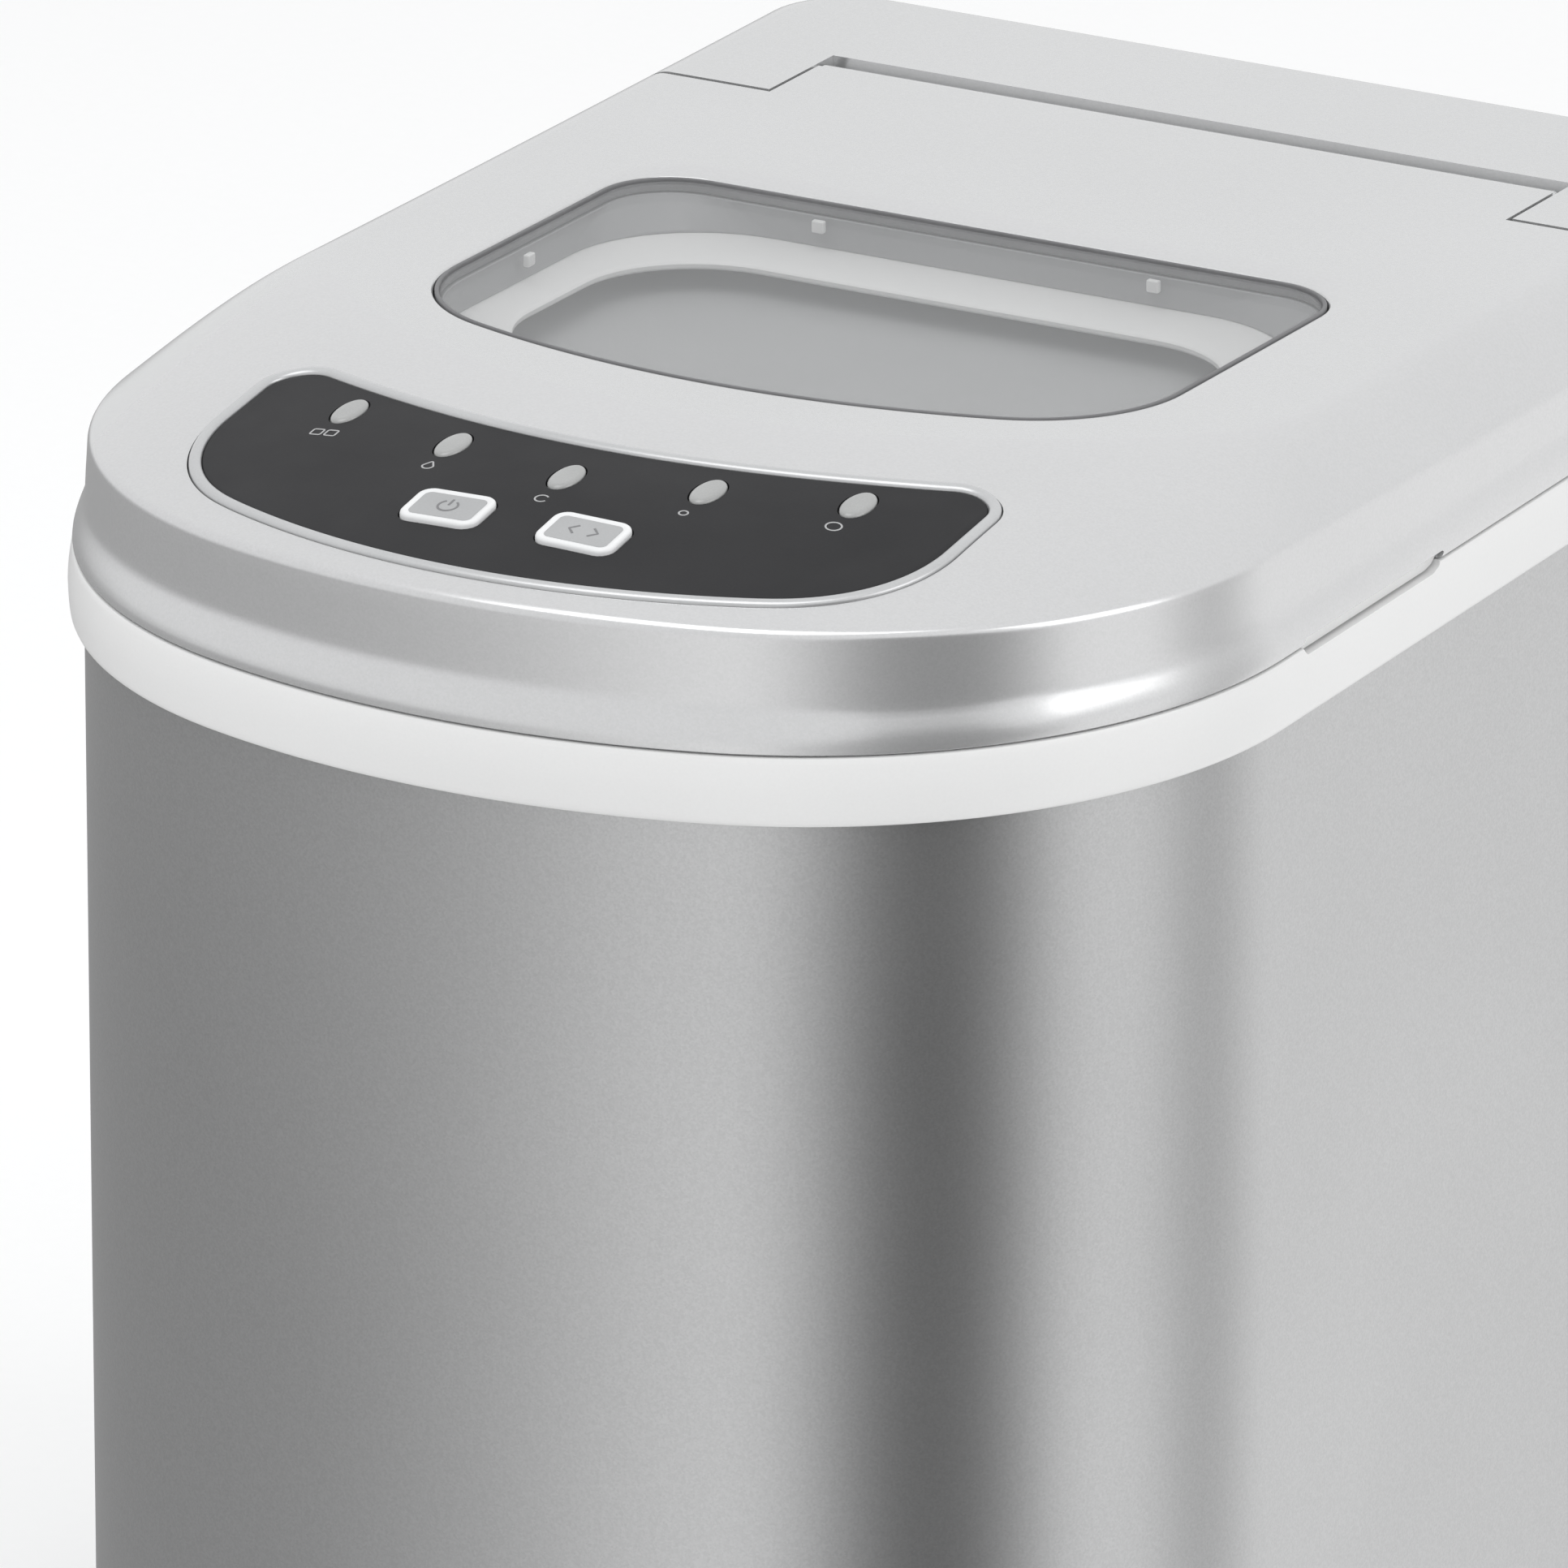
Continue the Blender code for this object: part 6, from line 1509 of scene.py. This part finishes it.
    def build_guard(self) -> None:
        """Fan guard: a plate with ten long round-ended slots in front of the fan."""
        outer = self.back_face
        x, z = self.fan
        half = self.guard_half - LAY.gap
        low, high = outer - 3.0 * MM, outer - 0.4 * MM
        plate = block("fan_grille", (x - half, low, z - half), (x + half, high, z + half), 0.5 * MM)
        count, pitch = 10, 8.6 * MM
        slots = []
        for number in range(count):
            height = z + (number - (count - 1) / 2) * pitch
            flat = soft_rectangle(np.array([x, height]), np.array([84.0, 3.6]) * MM, 1.75 * MM, 8)
            rings = np.stack([np.stack([flat[:, 0], np.full(len(flat), y), flat[:, 1]], axis=1)
                              for y in (low - 3 * MM, high + 3 * MM)])
            slots.append(loft("guard_slot_%d" % number, rings))
        carve(plate, Cut.TAKE, merged("guard_slots", slots))
        finish_piece(plate, DARK_PLASTIC, "body", "fan_guard", slot="grey_plastic")

    def build_gland(self) -> None:
        """Cord gland: a ribbed bush with an open bore."""
        outer = self.back_face
        gland = turned("gland", ((6.0 * MM, -8.0 * MM), (6.0 * MM, 0.3 * MM), (8.4 * MM, 0.3 * MM),
                                 (8.5 * MM, 0.8 * MM), (8.2 * MM, 1.5 * MM), (7.4 * MM, 2.2 * MM),
                                 (6.8 * MM, 2.5 * MM), (4.4 * MM, 2.5 * MM), (3.6 * MM, 2.1 * MM),
                                 (3.4 * MM, 1.5 * MM), (3.4 * MM, -7.0 * MM)),
                       (self.gland[0], outer, self.gland[1]), "Y", 48)
        finish_piece(gland, RUBBER, "body", "cord_gland", slot="black_rubber")

    def build(self) -> None:
        """The wrap, the rear panel and what is fixed to it."""
        self.build_wrap()
        self.build_rear()
        self.build_screws()
        self.build_guard()
        self.build_gland()


@dataclass
class Base:
    """Base tray and four rubber feet."""

    foot_places: Tuple[Tuple[str, float, float], ...] = (
        ("foot_front_left", -87.5, 52.0), ("foot_front_right", 87.5, 52.0),
        ("foot_rear_left", -87.5, 318.0), ("foot_rear_right", 87.5, 318.0))
    foot_profile: Tuple[Tuple[float, float], ...] = (
        (1.0, 12.5), (3.2, 12.0), (3.2, 6.7), (10.4, 6.7), (10.9, 6.4), (11.0, 5.9), (10.4, 2.2), (10.1, 1.0),
        (9.6, 0.35), (8.7, 0.0), (5.0, 0.0), (4.6, 0.5), (1.0, 0.5))

    def build(self) -> None:
        """A shallow tray with a rolled edge and an inner wall, on turned feet."""
        outer = BASE.inset(LAY.body_inset)
        edge = outer.points()
        rows = [level(edge * share, 7.0 * MM) for share in (0.03, 0.5, 0.9)]
        for inset, z in ((1.2, 7.0), (0.5, 7.15), (0.12, 7.6), (0.0, 8.2), (0.0, 9.2), (0.2, 9.5), (2.6, 9.5),
                         (2.8, 9.6), (2.8, 20.6), (3.0, 21.0), (5.0, 21.0), (5.3, 20.6), (5.3, 9.6)):
            rows.append(level(outer.inset(inset * MM).points(), z * MM))
        rows += [level(edge * share, 9.5 * MM) for share in (0.9, 0.5, 0.03)]
        tray = loft("tray_base", np.array(rows))
        holes = [turned("foot_hole", ((3.5 * MM, 0.0), (3.5 * MM, 20 * MM)),
                        (x * MM, LAY.back(depth * MM), 0.0), "Z", 24) for _, x, depth in self.foot_places]
        carve(tray, Cut.TAKE, merged("foot_holes", holes))
        finish_piece(tray, HOUSING_PLASTIC, "body", "base_tray", slot="grey_plastic")
        for name, x, depth in self.foot_places:
            foot = turned(name + "_fine", tuple((radius * MM, rise * MM) for radius, rise in self.foot_profile),
                          (x * MM, float(LAY.back(depth * MM)), 0.0), "Z", 56)
            finish_piece(foot, RUBBER, "body", name, slot="black_rubber")


# ---------------------------------------------------------------------------------------------- tank and works
@dataclass
class Tank:
    """Tank liner, basket, scoop and what hangs in the tank."""

    floor: float = 62.0 * MM
    wall: float = 2.5 * MM

    def build_liner(self) -> None:
        """The liner: lip, walls that turn into the floor on a radius, and the outside."""
        lip = LAY.deck + 2.3 * MM
        rows = [level(TANK.inset(-6.0 * MM).points(), LAY.deck + 0.3 * MM),
                level(TANK.inset(-6.0 * MM).points(), lip - 0.7 * MM),
                level(TANK.inset(-5.3 * MM).points(), lip), level(TANK.inset(1.0 * MM).points(), lip),
                level(TANK.inset(2.1 * MM).points(), lip - 0.4 * MM),
                level(TANK.inset(self.wall).points(), lip - 1.4 * MM)]
        inner = TANK.inset(self.wall)
        rows += [level(inner.points(), z) for z in np.linspace(LAY.deck - 10 * MM, self.floor + 12 * MM, 6)]
        floor = self.floor + self.wall
        for turn in np.radians((22.5, 45.0, 67.5, 90.0)):
            rows.append(level(inner.inset(6.0 * MM * (1 - math.cos(turn))).points(),
                              floor + 6.0 * MM * (1 - math.sin(turn))))
        centre = np.array([0.0, LAY.back(120 * MM)])
        low = inner.inset(6.0 * MM).points()
        rows += [level(centre + (low - centre) * share, floor) for share in (0.6, 0.05)]
        under = TANK.points()
        rows += [level(centre + (under - centre) * share, self.floor) for share in (0.05, 0.6, 0.97)]
        rows += [level(under, self.floor + 2 * MM), level(under, LAY.deck + 0.3 * MM)]
        liner = loft("liner", np.array(rows), closed=True)
        y, z = float(LAY.back(LAY.drain[0])), LAY.drain[1]
        hole = turned("liner_hole", ((7.3 * MM, -5 * MM), (7.3 * MM, 12 * MM)), (-106.5 * MM, y, z), "X", 40)
        carve(liner, Cut.TAKE, hole)
        finish_piece(liner, PALE_PLASTIC, "body", "tank_liner", slot="pale_plastic")

    def build(self) -> None:
        """The liner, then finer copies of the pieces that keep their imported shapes."""
        self.build_liner()
        dress_copies((
                ("basket_rack", PALE_PLASTIC, "pale_plastic", 0.5), ("ice_basket", CLEAR, "clear_plastic", 0.5),
                ("ice_scoop", CLEAR, "clear_plastic", 0.4), ("inner_cover", GREY_PLASTIC, "grey_plastic", 0.0),
                ("water_tray", GREY_PLASTIC, "grey_plastic", 0.3), ("ice_pusher", PALE_PLASTIC, "pale_plastic", 0.3),
                ("evaporator", STEEL, "steel", 0.3), ("evaporator_frame", PALE_PLASTIC, "pale_plastic", 0.5),
                ("tray_gear_motor", DARK_PLASTIC, "dark_plastic", 0.8),
                ("ice_sensor_left", DARK_PLASTIC, "dark_plastic", 0.6),
                ("ice_sensor_right", DARK_PLASTIC, "dark_plastic", 0.6),
                ("water_pump", DARK_PLASTIC, "dark_plastic", 0.6), ("drain_spout", PALE_PLASTIC, "pale_plastic", 0.3),
                ("drain_cap", RUBBER, "black_rubber", 0.3), ("tank_insulation", FOAM, "foam", 0.0),
                ("pump_hose", CLEAR, "clear_plastic", 0.0)))


@dataclass
class Works:
    """Compressor, condenser, fan and tubes behind the tank."""

    def build(self) -> None:
        """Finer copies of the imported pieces, each with its own finish."""
        dress_copies((
                ("compressor", ENAMEL, "black_metal", 0.5), ("condenser", FINS, "aluminium", 0.2),
                ("fan_shroud", DARK_PLASTIC, "dark_plastic", 0.5), ("fan_motor", ENAMEL, "black_metal", 0.4),
                ("fan_impeller", DARK_PLASTIC, "dark_plastic", 0.25), ("filter_drier", COPPER, "copper", 0.0),
                ("discharge_tube", COPPER, "copper", 0.0), ("suction_tube", COPPER, "copper", 0.0),
                ("capillary_tube", COPPER, "copper", 0.0), ("power_board", BOARD, "board", 0.2),
                ("display_board", BOARD, "board", 0.0)))


# ---------------------------------------------------------------------------------------------- studio
@dataclass
class Studio:
    """Pale floor, soft lights, a studio dome and the camera."""

    azimuth: float = 28.91
    elevation: float = 20.28
    place: Tuple[float, float, float] = (1.7813, -3.2686, 1.597)
    lens: float = 481.2
    sky: Colour = (0.86, 0.864, 0.868)
    rim_blur: float = 0.2
    tones: Tuple[Tuple[float, float], ...] = (
        (-180, 0.60), (-150, 0.34), (-120, 0.30), (-75, 0.29), (-55, 0.31), (-35, 0.40), (-15, 0.60), (3, 0.98),
        (18, 0.98), (30, 0.62), (43, 0.09), (56, 0.03), (67, 0.06), (77, 0.36), (88, 1.05), (100, 1.35),
        (111, 0.95), (123, 0.44), (134, 0.52), (146, 1.15), (165, 1.25), (180, 1.0))
    rims: Tuple[Tuple[float, float], ...] = (
        (-180, 0.12), (-90, 0.08), (-20, 0.14), (15, 0.20), (35, 0.34), (45, 0.55), (64, 0.55), (78, 0.26),
        (105, 0.22), (120, 0.42), (134, 0.40), (148, 0.22), (180, 0.16))

    def build_floor(self) -> None:
        """A wide plain floor that shiny surfaces do not mirror."""
        size = 12.0
        floor = mesh_of("floor", np.array([[-size, -size, 0.0], [size, -size, 0.0], [size, size, 0.0],
                                           [-size, size, 0.0]]), [[0, 1, 2, 3]])
        floor.data.materials.append(FLOOR.make())
        floor.visible_glossy = False

    def build_dome(self) -> None:
        """World light by direction: white above, and below it light and dark cards round the horizon.

        The azimuth is the arc tangent of x over minus y; a ramp of card tones follows it, and gives way to
        plain white above the cards' upper rims, whose heights are a second ramp.
        """
        world = bpy.data.worlds.new("studio")
        world.use_nodes = True
        bpy.context.scene.world = world
        sh = Shading(world.node_tree)
        way = sh.node("SeparateXYZ", {}, {"Vector": sh.node("TexCoord").outputs["Generated"]})
        x, y, z = (sh.value(way.outputs[k]) for k in range(3))
        turn = x.combine("ARCTAN2", y * -1.0) / (2 * math.pi) + 0.5
        cards, rim = (sh.node("ValToRGB", {"stops": [((angle + 180) / 360, (tone, tone, tone))
                                                     for angle, tone in stops], "interpolation": blend},
                              {"Fac": turn}).outputs[0]
                      for stops, blend in ((self.tones, "B_SPLINE"), (self.rims, "LINEAR")))
        up = ((z - (sh.value(rim) - self.rim_blur)) / self.rim_blur + 0.5).clamp()
        light = sh.tint(cards, self.sky, up)
        seen = sh.value(sh.node("LightPath").outputs["Is Camera Ray"])
        whole = sh.tint(light, (1.0, 1.0, 1.0), seen)
        background = sh.node("Background", {}, {"Color": whole, "Strength": 1.0})
        sh.node("OutputWorld", {}, {"Surface": background.outputs[0]})

    def area(self, name: str, place: Sequence[float], target: Sequence[float], size: float, power: float) -> None:
        """A square soft light that faces a target.

        Args:
            name: The light's name.
            place: Where it stands.
            target: The point it faces.
            size: Length of its side.
            power: Its power in watts.
        """
        light = bpy.data.lights.new(name, "AREA")
        light.shape = "SQUARE"
        light.size = size
        light.energy = power
        lamp = bpy.data.objects.new(name, light)
        lamp.location = place
        lamp.rotation_euler = (Vector(target) - Vector(place)).to_track_quat("-Z", "Y").to_euler()
        bpy.context.scene.collection.objects.link(lamp)

    def build_camera(self) -> None:
        """Long lens on the front right, a little above the lid."""
        az, el = math.radians(self.azimuth), math.radians(self.elevation)
        way = Vector((-math.sin(az) * math.cos(el), math.cos(az) * math.cos(el), -math.sin(el)))
        camera = bpy.data.cameras.new("camera")
        camera.lens = self.lens
        camera.sensor_width = 36.0
        camera.clip_end = 60.0
        view = bpy.data.objects.new("camera", camera)
        view.location = self.place
        view.rotation_euler = way.to_track_quat("-Z", "Y").to_euler()
        bpy.context.scene.collection.objects.link(view)
        bpy.context.scene.camera = view

    def build(self) -> None:
        """The whole studio, seen without tone compression."""
        bpy.context.scene.view_settings.view_transform = "Standard"
        self.build_floor()
        self.build_dome()
        self.area("key", (-0.1, -0.7, 2.7), (0.0, 0.0, 0.25), 1.8, 20.0)
        self.area("fill", (2.3, 0.2, 1.5), (0.0, 0.0, 0.25), 1.4, 11.0)
        self.build_camera()


def main() -> None:
    """Build every sub-assembly in order."""
    logging.basicConfig(level=logging.INFO, format="%(name)s %(message)s")
    for unit in (Lid(), RearCover(), ControlPanel(), Collar(), Body(), Base(), Tank(), Works(), Studio()):
        LOG.info("building %s", type(unit).__name__)
        unit.build()


if __name__ == "__main__":
    main()
